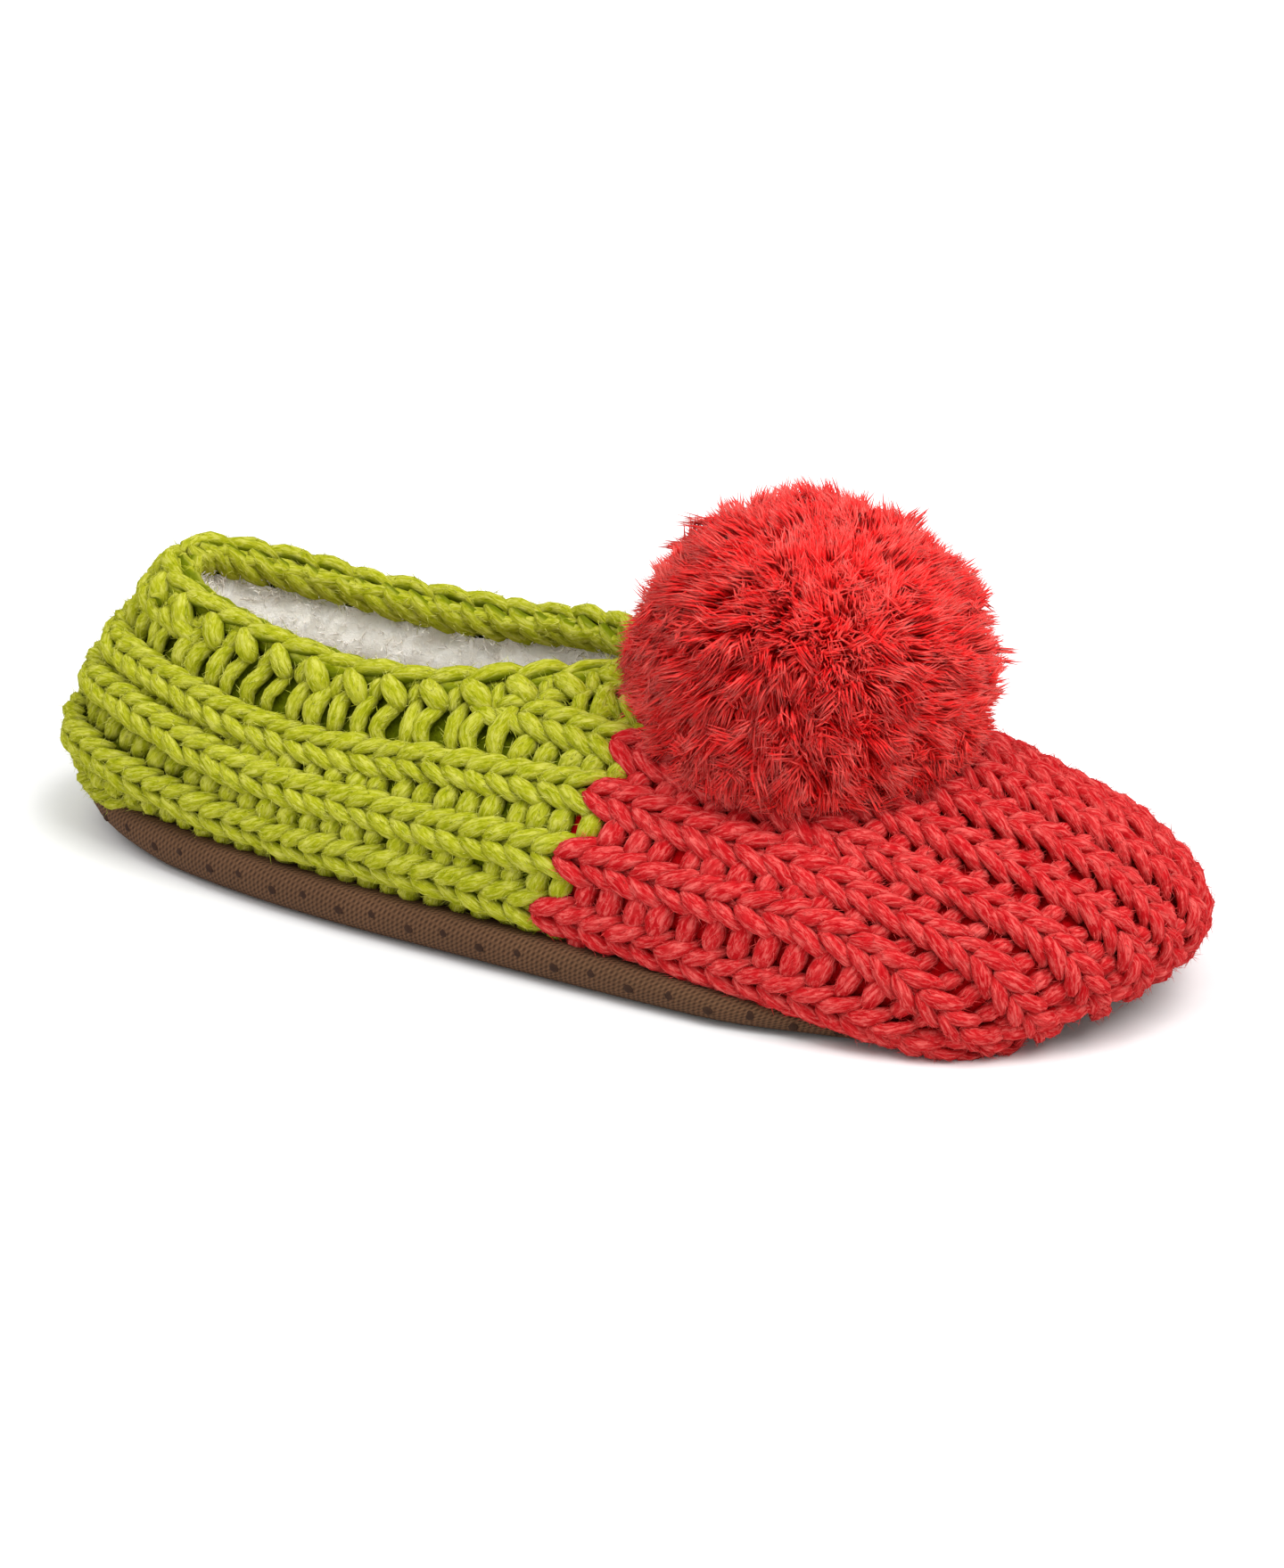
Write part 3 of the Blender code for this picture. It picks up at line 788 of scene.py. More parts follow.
def crochet_edge():
    """The edge worked round the collar: a chain on top, loops over the outside, a rope down the inside."""
    length, middle, out, up = rim_frame()
    link = model_strand(8, LEG_SHAPE)
    loop = model_strand(8, BEAD_SHAPE)
    batches = []

    def work(pattern, step, along, outwards, upwards, width, facing):
        count = int(round(length[-1] / step))
        starts = np.arange(count) * length[-1] / count
        for turned in BOTH_SIDES:
            shift, aside, rise, swell = chances(count, 4)
            at = np.clip(starts[:, None] + np.array(along) * (1 + 0.05 * shift), 0.0, length[-1])
            spot, outer, upper = (on_line(at, length, table) for table in (middle, out, up))
            across = np.array(outwards) + aside * 0.25
            higher = np.array(upwards) * (1 + rise * 0.1)
            lines = spot + outer * across[..., None] + upper * higher[..., None]
            shown = unit(outer * facing[0] + upper * facing[1])
            thick = np.full(at.shape, width) * (1 + 0.06 * swell)
            batches.append(lay_strands(pattern, lines * turned, shown * turned, thick, lumps=YARN_LUMPS))
            green_strands.append((lines * turned, shown * turned, thick))

    work(link, CHAIN_LINK, LINK_ALONG, LINK_OUT, LINK_UP, 1.75, (0.7, 0.7))
    work(link, CHAIN_LINK, LINK_ALONG, LINK_IN, LINK_UP, 1.75, (-0.7, 0.7))
    work(link, CHAIN_LINK, BED_ALONG, BED_OUT, BED_UP, 2.4, (0.0, 1.0))
    work(loop, CHAIN_LINK, POST_ALONG, POST_OUT, POST_UP, 2.4, (1.0, 0.0))
    work(loop, CHAIN_LINK, TIE_ALONG, TIE_OUT, TIE_UP, 1.6, (1.0, 0.0))
    work(loop, ROPE_STEP, ROPE_ALONG, ROPE_OUT, ROPE_UP, 2.0, (-1.0, 0.0))
    batches.append(lay_strands(loop, *yarn_end(length, middle, out, up)))
    return join_strands("crochet_edge", batches, 3)


# Pompom: the tufts of each piece with its seed, how many strands a tuft frays into, and the locks they lie in
TUFTS = ((1360, 40), (1370, 41), (1380, 42))
TUFT_SHAPE = ((0.0, 0.9), (0.7, 1.1), (1.0, 0.5))
TUFT_STRANDS = 14
TUFT_SPREAD = 1.35
TUFT_RADII = (0.15, 0.29)
SWIRL = unit(np.array([0.339, -0.599, 0.726]))
LOCK_COUNT = 90
LOCK_SEED = 7
ROOT_SHARE = 0.74
HEART_SHARE = 0.8
FAR_BELOW = -100.0


def even_directions(count):
    """Directions spread evenly over a ball."""
    k = np.arange(count) + 0.5
    high = 1.0 - 2.0 * k / count
    turn = math.pi * (1.0 + 5.0**0.5) * k
    level = np.sqrt(1.0 - high * high)
    return np.column_stack([np.cos(turn) * level, np.sin(turn) * level, high])


def vamp_height(points):
    """The knit's own height under each point, or far below where there is none."""
    top = wall.grid[wall.throat :: 3, 40::4].reshape(-1, 3)
    found = np.full(len(points), FAR_BELOW)
    at_once = 2000
    for start in range(0, len(points), at_once):
        some = points[start : start + at_once]
        ahead = some[:, None, 0] - top[None, :, 0]
        aside = np.abs(some[:, None, 1]) - top[None, :, 1]
        apart = ahead**2 + aside**2
        under = top[apart.argmin(axis=1), 2]
        found[start : start + at_once] = np.where(apart.min(axis=1) < 9.0, under, FAR_BELOW)
    return found


def from_swirl(directions):
    """The angle of each direction from the swirl on the pompom's crown."""
    return np.arccos(np.clip(directions @ SWIRL, -1, 1))


def tuft_lines(tufts, draw):
    """Cut yarn ends, combed away from the swirl above, straight out below: lines and directions."""
    shaped = np.random.default_rng(LOCK_SEED)
    locks = unit(even_directions(LOCK_COUNT) + shaped.normal(0, 0.09, (LOCK_COUNT, 3)))
    lock_lean = shaped.normal(0, 0.13, (LOCK_COUNT, 3))
    lock_reach = shaped.normal(0, 0.024, LOCK_COUNT)
    root = unit(even_directions(tufts) + draw.normal(0, 0.04, (tufts, 3)))
    nearness = np.exp(-((from_swirl(root) / 0.75) ** 2))
    root = unit(root + SWIRL * (0.45 * nearness)[:, None])
    lock = (root @ locks.T).argmax(axis=1)
    angle = from_swirl(root)
    away = unit(root - (root @ SWIRL)[:, None] * SWIRL)
    below = smooth((0.3 - root[:, 2]) / 0.6)
    sweep = 0.26 * smooth(angle / 0.9) * np.exp(-((np.maximum(angle - 0.9, 0.0) / 0.7) ** 2))
    lean = (away + 0.4 * np.cross(SWIRL, away)) * (sweep * (1.0 - 0.85 * below))[:, None]
    follow = draw.uniform(0.0, 1.0, tufts) ** 0.6
    held = 1.0 - 0.7 * np.exp(-((angle / 0.5) ** 2))
    own_lean = draw.normal(0, 0.09, (tufts, 3))
    lean += lock_lean[lock] * (follow * held * (1.0 - 0.5 * below))[:, None] + own_lean
    reach = POMPOM_RADIUS * (0.94 + follow * (0.055 + lock_reach[lock]) + draw.normal(0, 0.026, tufts))
    share = np.array([place for place, _ in TUFT_SHAPE])[None, :, None]
    toward = unit(root[:, None] + lean[:, None] * share**1.4)
    lines = POMPOM_MIDDLE + toward * (reach[:, None, None] * (ROOT_SHARE + (1.0 - ROOT_SHARE) * share))
    lines += draw.normal(0, 0.6, lines.shape) * share
    return lines, toward, share


def frayed_strands(tufts, draw):
    """The strands that the tufts fray into, each resting on the vamp where it would reach into it."""
    lines, toward, share = tuft_lines(tufts, draw)
    lowest = vamp_height(lines.reshape(-1, 3)).reshape(lines.shape[:2])
    kept = (lines[:, 1, 2] > lowest[:, 1] - 5.0) & (lines[:, 0, 2] > lowest[:, 0] - 2.0)
    lines, toward, lowest = lines[kept], toward[kept], lowest[kept]
    tuft = np.repeat(np.arange(len(lines)), TUFT_STRANDS)
    count = len(tuft)
    first = unit(np.cross(toward[:, -1], draw.normal(0, 1, (len(lines), 3))))
    second = np.cross(toward[:, -1], first)
    angle = draw.uniform(0, 2 * math.pi, count)
    off = np.sqrt(draw.uniform(0, 1, count)) * TUFT_SPREAD
    spread = first[tuft] * (off * np.cos(angle))[:, None] + second[tuft] * (off * np.sin(angle))[:, None]
    longer = draw.normal(0, 0.5, count) - 0.3 * off**2
    strands = lines[tuft] + spread[:, None] * (0.9 + 0.35 * share)
    waver = draw.normal(0, 0.4, strands.shape) * share
    strands += toward[tuft] * (longer[:, None, None] * share) + waver
    resting = lowest[tuft] + draw.uniform(0.2, 3.2, (count, 1)) * share[..., 0]
    strands[..., 2] = np.maximum(strands[..., 2], resting)
    return strands


def pompom():
    """The pompom's strands, in three pieces."""
    strand = model_strand(3, TUFT_SHAPE, pointed=True)
    made = []
    for number, (tufts, seed) in enumerate(TUFTS, start=1):
        draw = np.random.default_rng(seed)
        laid = lay_loose(strand, frayed_strands(tufts, draw), TUFT_RADII, draw)
        made.append(join_strands(f"pompom_strands_{number}", [laid], seed + 10))
    return made


def pompom_heart():
    """The tied heart of the pompom, which closes the gaps between the strands."""
    deselect()
    radius = POMPOM_RADIUS * HEART_SHARE * MM
    bpy.ops.mesh.primitive_ico_sphere_add(subdivisions=5, radius=radius, location=POMPOM_MIDDLE * MM)
    piece = bpy.context.object
    piece.name = piece.data.name = "pompom_heart"
    bpy.ops.object.transform_apply(location=True, rotation=True, scale=True)
    points = np.array([v.co for v in piece.data.vertices]) / MM
    points[:, 2] = np.maximum(points[:, 2], vamp_height(points) - 1.0)
    piece.data.vertices.foreach_set("co", (points * MM).astype(np.float32).ravel())
    raise_pile(piece, 1.6)
    apply_all(piece)
    bpy.ops.object.shade_smooth()
    return piece


# Surfaces laid over the last
MERGE = 2e-5
MIRROR_MERGE = 2e-4
PILE = (("clumps", 6.5, 0.8), ("curls", 2.2, 0.5))
CURL_SHAPE = ((0.0, 1.0), (0.55, 1.0), (1.0, 0.4))
CURL_RADII = (0.07, 0.16)
CURL_LENGTHS = (1.0, 2.6)


def mapped_grid(name, across, up, place):
    """A grid primitive whose points are moved to place(across share, up share)."""
    deselect()
    bpy.ops.mesh.primitive_grid_add(x_subdivisions=across, y_subdivisions=up, size=2.0)
    piece = bpy.context.object
    piece.name = piece.data.name = name
    flat = np.empty(len(piece.data.vertices) * 3, dtype=np.float32)
    piece.data.vertices.foreach_get("co", flat)
    shares = (flat.reshape(-1, 3)[:, :2] + 1.0) / 2.0
    points = place(shares[:, 0].astype(float), shares[:, 1].astype(float))
    piece.data.vertices.foreach_set("co", (points * MM).astype(np.float32).ravel())
    piece.data.update()
    return piece


def take_up(piece):
    """Makes a piece the only one selected, and the active one."""
    deselect()
    piece.select_set(True)
    bpy.context.view_layer.objects.active = piece


def apply_all(piece):
    take_up(piece)
    for modifier in list(piece.modifiers):
        bpy.ops.object.modifier_apply(modifier=modifier.name)


def close_mesh(piece):
    """Merges doubled points and turns the faces outwards."""
    take_up(piece)
    edit_all()
    bpy.ops.mesh.remove_doubles(threshold=MERGE)
    bpy.ops.mesh.dissolve_degenerate(threshold=TINY)
    face_outwards()
    bpy.ops.object.shade_smooth()


def turn_over():
    """Turns the faces of the active piece the other way."""
    edit_all()
    bpy.ops.mesh.flip_normals()
    bpy.ops.object.mode_set(mode="OBJECT")


def on_wall(section_share, height_share, depth, low=0.0):
    """Points of the wall at a depth under its outer face, by shares along it and from low to its top."""
    i = section_share * (SECTION_COUNT - 1.001)
    j = np.interp(low + (1.0 - low) * height_share, wall.shares, HEIGHT_NUMBERS)
    i0 = i.astype(int)
    j0 = np.minimum(j.astype(int), HEIGHT_COUNT - 2)
    a = (i - i0)[:, None]
    b = (j - j0)[:, None]

    def between(table):
        low_row = table[i0, j0] * (1 - a) + table[i0 + 1, j0] * a
        return low_row * (1 - b) + (table[i0, j0 + 1] * (1 - a) + table[i0 + 1, j0 + 1] * a) * b

    points = between(wall.grid) - unit(between(wall.normals)) * depth
    at_ends = (section_share < TINY) | (section_share > 1 - TINY)
    closed = (height_share > 1 - TINY) & (i >= wall.throat)
    points[at_ends | closed, 1] = 0.0
    points[:, 1] = np.maximum(points[:, 1], 0.0)
    return points


def both_walls(piece):
    """Mirrors a piece laid on the +Y side, and closes it along the middle."""
    mirror = piece.modifiers.new("both_sides", "MIRROR")
    mirror.use_axis = (False, True, False)
    mirror.merge_threshold = MIRROR_MERGE
    apply_all(piece)
    close_mesh(piece)


def thicken(piece, thickness):
    cloth = piece.modifiers.new("thickness", "SOLIDIFY")
    cloth.thickness = thickness * MM
    cloth.offset = -1.0
    apply_all(piece)


def raise_pile(piece, height):
    """Uneven clumps and finer curls that stand up out of a sheet."""
    for name, size, share in PILE:
        texture = bpy.data.textures.new(name, "CLOUDS")
        texture.noise_scale = size * MM
        texture.noise_depth = 2
        pile = piece.modifiers.new(name, "DISPLACE")
        pile.texture = texture
        pile.texture_coords = "LOCAL"
        pile.strength = height * share * MM * 2.0
        pile.mid_level = 0.25
    apply_all(piece)


def ground():
    """The closed back of the knit, seen between the stitches, where its dark colour is painted shade."""

    def place(u, v):
        depth = 3.4 + 0.9 * smooth((on_wall(u, v, 0.0)[:, 0] - 30.0) / 40.0)
        return on_wall(u, v, depth[:, None])

    piece = mapped_grid("knit_ground", 120, 24, place)
    both_walls(piece)
    thicken(piece, 1.2)
    return piece


def fleece_lining():
    """The fleece inside the wall: thin at the edging, then a full roll below it, with uneven pile."""

    def place(u, v):
        roll = smooth((1.0 - v) / 0.13) * (0.4 + 0.6 * smooth(v / 0.6))
        return on_wall(u, v, (5.4 + 7.0 * roll)[:, None], low=-0.02)

    piece = mapped_grid("fleece_lining", 230, 46, place)
    both_walls(piece)
    turn_over()
    raise_pile(piece, 2.0)
    return piece


def fleece_curls(name, sheets, each, seed):
    """Short curled tufts of pile standing on the fleece, most of them near the rim."""
    draw = np.random.default_rng(seed)
    curl = model_strand(3, CURL_SHAPE, pointed=True)
    share = np.array([place for place, _ in CURL_SHAPE])[None, :, None]
    batches = []
    for piece, count in zip(sheets, each):
        points = np.array([v.co for v in piece.data.vertices]) / MM
        facing = np.array([v.normal for v in piece.data.vertices])
        liking = 0.25 + smooth((points[:, 2] - 20.0) / 22.0)
        chosen = draw.choice(len(points), count, p=liking / liking.sum())
        root = points[chosen] + draw.normal(0, 0.45, (count, 3)) - facing[chosen] * 0.3
        high = smooth((points[chosen, 2:] - 38.0) / 8.0)
        way = unit(facing[chosen] * 0.8 + high * (0.0, 0.0, 0.7) + draw.normal(0, 0.5, (count, 3)))
        way = way * draw.uniform(*CURL_LENGTHS, (count, 1)) * (1.0 + 0.5 * high)
        bend = draw.normal(0, 0.6, (count, 3))
        path = root[:, None] + way[:, None] * share + bend[:, None] * np.sin(share * 2.6)
        batches.append(lay_loose(curl, path, CURL_RADII, draw))
    return join_strands(name, batches, seed)


def make_insole():
    """The fleece footbed: a soft slab from side to side, rounded down at its edge, with the pile on top."""
    line = wall.line
    edge = np.column_stack([line["x"], line["y"]]) - (line["lining"][:, None] - 2.5) * line["base_out"]
    sole_x = line["x"] - line["tuck"] * line["base_out"][:, 0]
    bottom = np.interp(edge[:, 0], sole_x, line["z"])

    def place(u, v):
        x, y, z = on_line(u * (SECTION_COUNT - 1), SECTION_NUMBERS, np.column_stack([edge, bottom])).T
        side = 2.0 * v - 1.0
        crown = 3.5 - 1.6 * np.abs(side) ** 8 - 1.2 * smooth(1 - np.minimum(u, 1 - u) / 0.03)
        return np.column_stack([x, y * side, z + crown])

    piece = mapped_grid("fleece_insole", 140, 44, place)
    close_mesh(piece)
    if np.mean([p.normal.z for p in piece.data.polygons]) < 0:
        turn_over()
    raise_pile(piece, 1.2)
    thicken(piece, 2.2)
    return piece


# Sole: how far out and how high up its edge's roll goes, from the inside over the top to the underside
SOLE_PROFILE = (
    (-3.0, 1.1), (0.8, 1.2), (2.4, 1.18), (3.3, 1.04), (3.6, 0.86), (3.4, 0.66),
    (2.7, 0.42), (1.7, 0.24), (0.5, 0.1), (-0.8, 0.03), (-3.2, 0.0),
)
SOLE_STEP = 4
SOLE_GAP = 0.3
SOLE_FLAT = 0.02
TOE_TUCK = 5.5
DOT_SPACING = 11.5
DOT_ROWS = (-110.0, 116.0)
DOT_REACH = 46.0
DOT_MARGIN = 6.0
EDGE_DOT_SPACING = 8.2
EDGE_DOT_OUT = 3.4
EDGE_DOT_HEIGHTS = (0.8, 0.66)
DOT_SIZE = np.array([1.1, 1.1, 0.6])
DOT_SUNK = 0.25
DOT_RINGS = ((0.45, 0.92, 0.45), (0.25, 0.75, 0.7), (0.12, 0.55, 0.82))


def sole_outline():
    """The sole's edge on the +Y side: outline points, outward directions, top and bottom heights."""
    line = wall.line
    top = line["z"] - SOLE_GAP
    bottom = np.maximum(top - line["sole"], 0.0)
    bottom[bottom < SOLE_FLAT] = 0.0
    tuck = line["tuck"] + TOE_TUCK * smooth((line["x"] - 40.0) / 40.0)
    edge = np.column_stack([line["x"], line["y"]]) - tuck[:, None] * line["base_out"]
    return edge, line["base_out"], top, bottom


def model_dot():
    """One moulded grip dot: a low dome, drawn up from a circle in rings of rise, shrinking and height."""
    deselect()
    bpy.ops.mesh.primitive_circle_add(vertices=8, radius=1.0, fill_type="NGON")
    dot = bpy.context.object
    edit_all()
    for rise, shrink, height in DOT_RINGS:
        bpy.ops.mesh.extrude_region_move(TRANSFORM_OT_translate={"value": (0, 0, rise)})
        bpy.ops.transform.resize(value=(shrink, shrink, 1), center_override=(0, 0, height))
    face_outwards()
    return take_mesh(dot)


def dot_places():
    """Spots and directions of the dots: staggered rows under the sole, and one row round its edge."""
    edge, out, top, bottom = sole_outline()
    half = DOT_SPACING / 2
    spots = []
    ups = []
    for row, x in enumerate(np.arange(*DOT_ROWS, half)):
        wide, base = (np.interp(x, edge[:, 0], line) for line in (edge[:, 1], bottom))
        for y in np.arange(half * (row % 2) - DOT_REACH, DOT_REACH + 0.1, DOT_SPACING):
            if abs(y) < wide - DOT_MARGIN:
                spots.append((x, y, base + FLOOR_GAP))
                ups.append((0.0, 0.0, -1.0))
    run = run_length(edge)
    for number, far in enumerate(np.arange(4.0, run[-1], EDGE_DOT_SPACING)):
        at = int(np.interp(far, run, SECTION_NUMBERS))
        height = bottom[at] + (top[at] - bottom[at]) * EDGE_DOT_HEIGHTS[number % 2]
        x, y = edge[at] + out[at] * EDGE_DOT_OUT
        for flip in (1.0, -1.0):
            spots.append((x, y * flip, height))
            ups.append((out[at, 0], out[at, 1] * flip, 0.0))
    return np.array(spots), np.array(ups)


def grip_dots():
    """Copies of the modelled dot at its places, none of them below the floor."""
    points, faces = model_dot()
    spots, ups = dot_places()
    first = unit(np.cross(ups, np.where(np.abs(ups[:, :1]) < 0.9, [[1.0, 0.0, 0.0]], [[0.0, 1.0, 0.0]])))
    second = np.cross(ups, first)
    local = points * DOT_SIZE
    laid = (
        spots[:, None]
        + first[:, None] * local[None, :, :1]
        + second[:, None] * local[None, :, 1:2]
        + ups[:, None] * (local[None, :, 2:] - DOT_SUNK)
    )
    laid[..., 2] = np.maximum(laid[..., 2], 0.0)
    offsets = np.arange(len(spots)) * len(points)
    corners = (np.concatenate(faces)[None] + offsets[:, None]).ravel()
    sizes = np.tile([len(face) for face in faces], len(spots))
    return new_mesh("grip_dots", laid.reshape(-1, 3), corners, sizes)


def all_round(values, turned=1.0):
    """A line on the +Y side carried on down the other side, nearly back to its start."""
    return np.concatenate([values, (values * turned)[-2:0:-1]])


def make_sole():
    """The fabric sole: its edge turned up in a soft roll, its underside flat, its UV map in millimetres."""
    edge, out, top, bottom = (line[::SOLE_STEP] for line in sole_outline())
    edge, out = (all_round(line, np.array([1.0, -1.0])) for line in (edge, out))
    top, bottom = (all_round(line) for line in (top, bottom))
    count = len(edge)
    run = run_length(np.vstack([edge, edge[:1]]))
    rings = []
    for aside, share in SOLE_PROFILE:
        rings.append(np.column_stack([edge + out * aside, bottom + (top - bottom) * share]))
    rings = np.stack(rings)
    girth = np.concatenate([[0.0], np.cumsum(np.linalg.norm(np.diff(rings, axis=0), axis=2).mean(axis=1))])
    corners = []
    uvs = []
    sizes = []
    for k in range(len(rings) - 1):
        for i in range(count):
            for ring, step in ((k, 0), (k + 1, 0), (k + 1, 1), (k, 1)):
                corners.append(ring * count + (i + step) % count)
                uvs.append((run[i + step], girth[ring]))
            sizes.append(4)
    flat = rings.reshape(-1, 3)
    for ring, up in ((0, True), (len(rings) - 1, False)):
        for i in range(count // 2):
            face = list(dict.fromkeys([i, i + 1, (count - i - 1) % count, (count - i) % count]))
            face = [ring * count + corner for corner in (face if up else face[::-1])]
            corners += face
            uvs += [tuple(flat[corner, :2]) for corner in face]
            sizes.append(len(face))
    return new_mesh("fabric_sole", flat, np.array(corners), np.array(sizes), np.array(uvs))


# Finishes


def colour(red, green, blue):
    """A screen colour from 0 to 255 as the shader's own values."""
    values = np.array([red, green, blue]) / 255.0
    return (*np.where(values <= 0.04045, values / 12.92, ((values + 0.055) / 1.055) ** 2.4), 1.0)


def grey(value):
    return (value, value, value, 1.0)


class Finish:
    """A material's node tree with short words for its usual steps."""

    def __init__(self, name):
        self.material = bpy.data.materials.new(name)
        self.material.use_nodes = True
        self.tree = self.material.node_tree
        self.shader = self.tree.nodes["Principled BSDF"]

    def feed(self, target, source):
        """Joins an input to another node's output, or sets it to a value."""
        if isinstance(source, bpy.types.NodeSocket):
            self.tree.links.new(source, target)
        else:
            target.default_value = source

    def node(self, kind, inputs=None, **settings):
        made = self.tree.nodes.new("ShaderNode" + kind)
        for name, value in settings.items():
            setattr(made, name, value)
        for name, source in (inputs or {}).items():
            self.feed(made.inputs[name], source)
        return made

    def set(self, **sockets):
        """Feeds the shader's own sockets, with an underscore for each space in a name."""
        for name, source in sockets.items():
            self.feed(self.shader.inputs[name.replace("_", " ")], source)

    def scaled(self, place, *scale):
        return self.node("Mapping", {"Vector": place, "Scale": scale}).outputs["Vector"]

    def strand_place(self, along, around):
        """Millimetres along a strand and turns round it, or millimetres of cloth, each scaled."""
        return self.scaled(self.node("UVMap", uv_map="yarn").outputs["UV"], along, around, 1.0)

    def object_place(self, scale):
        return self.scaled(self.node("TexCoord").outputs["Object"], scale, scale, scale)

    def noise(self, place, detail=3.0, rough=0.6, twist=0.0):
        inputs = {"Vector": place, "Scale": 1.0, "Detail": detail, "Roughness": rough, "Distortion": twist}
        return self.node("TexNoise", inputs).outputs["Fac"]

    def bands(self, place, turn, **inputs):
        """Straight bands across a place that is first turned by some degrees."""
        turned = self.node("Mapping", {"Vector": place, "Rotation": (0.0, 0.0, math.radians(turn))})
        named = {name.replace("_", " "): value for name, value in inputs.items()}
        named["Vector"] = turned.outputs["Vector"]
        return self.node("TexWave", named, wave_type="BANDS", bands_direction="X").outputs["Fac"]

    def ramp(self, fac, *stops):
        made = self.node("ValToRGB", {"Fac": fac})
        ends = made.color_ramp.elements
        while len(ends) < len(stops):
            ends.new(0.5)
        for stop, (place, tone) in zip(ends, stops):
            stop.position = place
            stop.color = tone
        return made.outputs["Color"]

    def blend(self, first, second, fac, kind="MIX"):
        inputs = {"Factor": fac, 6: first, 7: second}
        return self.node("Mix", inputs, data_type="RGBA", blend_type=kind).outputs[2]

    def bump(self, height, strength, distance, below=None):
        inputs = {"Strength": strength, "Distance": distance * MM, "Height": height}
        if below is not None:
            inputs["Normal"] = below
        return self.node("Bump", inputs).outputs["Normal"]

    def vector(self, operation, first, second=None):
        """A step of vector arithmetic."""
        inputs = {0: first}
        if second is not None:
            inputs["Scale" if operation == "SCALE" else 1] = second
        made = self.node("VectorMath", inputs, operation=operation)
        return made.outputs["Value" if operation == "DISTANCE" else "Vector"]


def yarn_finish(name, painted_crease_shade, deep, body, bright):
    """Loosely spun wool: fine fibres along the strand in uneven tones, with painted shade on each strand's
    underside and flanks, where the creases between strands fall.
    """
    f = Finish(name)
    fibres = f.noise(f.strand_place(0.45, 16.0), detail=4.0, rough=0.7, twist=0.5)
    tufts = f.noise(f.strand_place(0.3, 3.0), detail=2.0)
    tone = f.ramp(fibres, (0.34, deep), (0.48, body), (0.62, bright))
    patch = f.ramp(tufts, (0.25, deep), (0.5, body), (0.8, bright))
    # Painted shade: the strand's underside and flanks are blended towards the crease colour, standing in for
    # the shade in the creases between strands.
    parts = f.node("SeparateXYZ", {"Vector": f.strand_place(1.0, 2.0 * math.pi)})
    turn = f.node("Math", {0: parts.outputs["Y"]}, operation="COSINE")
    reach = {"Value": turn.outputs[0], "From Min": -0.45, "From Max": 0.55, "To Max": 0.9}
    painted_flank_shade = f.node("MapRange", reach, interpolation_type="SMOOTHSTEP")
    f.set(Base_Color=f.blend(f.blend(tone, patch, 0.3), painted_crease_shade, painted_flank_shade.outputs["Result"]))
    f.set(Normal=f.bump(fibres, 1.0, 0.35, f.bump(tufts, 0.35, 0.5)))
    f.set(Roughness=0.95, Specular_IOR_Level=0.02)
    f.set(Sheen_Weight=0.06, Sheen_Roughness=0.4, Sheen_Tint=bright)
    return f.material


def hair_finish(name, body, bright):
    """Loose fibres and pile: light and matt."""
    f = Finish(name)
    tone = f.noise(f.object_place(500.0), detail=2.0)
    f.set(Base_Color=f.ramp(tone, (0.35, body), (0.65, bright)))
    f.set(Roughness=1.0, Specular_IOR_Level=0.0)
    return f.material


def painted_shade_ground_finish():
    """The yarn behind the stitches, darkened as painted shade between the stitches: green behind the change
    of colour and red ahead of it.
    """
    f = Finish("painted_shade_yarn")
    parts = f.node("SeparateXYZ", {"Vector": f.object_place(1.0)})
    ahead = f.node("Math", {0: parts.outputs["X"], 1: COLOUR_CHANGE[1] * MM}, operation="GREATER_THAN")
    grain = f.noise(f.object_place(900.0))
    # Painted shade: these dark, saturated greens and reds stand for the shade that falls between the
    # stitches.
    green = f.ramp(grain, (0.3, colour(76, 88, 0)), (0.7, colour(106, 116, 6)))
    red = f.ramp(grain, (0.3, colour(170, 0, 8)), (0.7, colour(204, 12, 20)))
    f.set(Base_Color=f.blend(green, red, ahead.outputs[0]), Normal=f.bump(grain, 0.8, 0.5))
    f.set(Roughness=0.95, Specular_IOR_Level=0.06)
    return f.material


def fleece_finish():
    """Off-white pile: soft clumps with fine curls."""
    f = Finish("white_fleece")
    clumps = f.noise(f.object_place(260.0))
    curls = f.noise(f.object_place(1100.0), detail=4.0, rough=0.7, twist=0.8)
    tone = f.ramp(clumps, (0.3, colour(252, 243, 231)), (0.65, colour(255, 249, 241)))
    fine = f.ramp(curls, (0.3, colour(250, 241, 229)), (0.6, colour(255, 250, 242)))
    f.set(Base_Color=f.blend(tone, fine, 0.5))
    f.set(Normal=f.bump(curls, 0.8, 1.0, f.bump(clumps, 0.4, 2.0)))
    f.set(Roughness=0.95, Specular_IOR_Level=0.1, Sheen_Weight=0.2, Sheen_Roughness=0.5)
    f.set(Subsurface_Weight=0.5, Subsurface_Radius=(1.0, 0.95, 0.9), Subsurface_Scale=2.0 * MM)
    return f.material


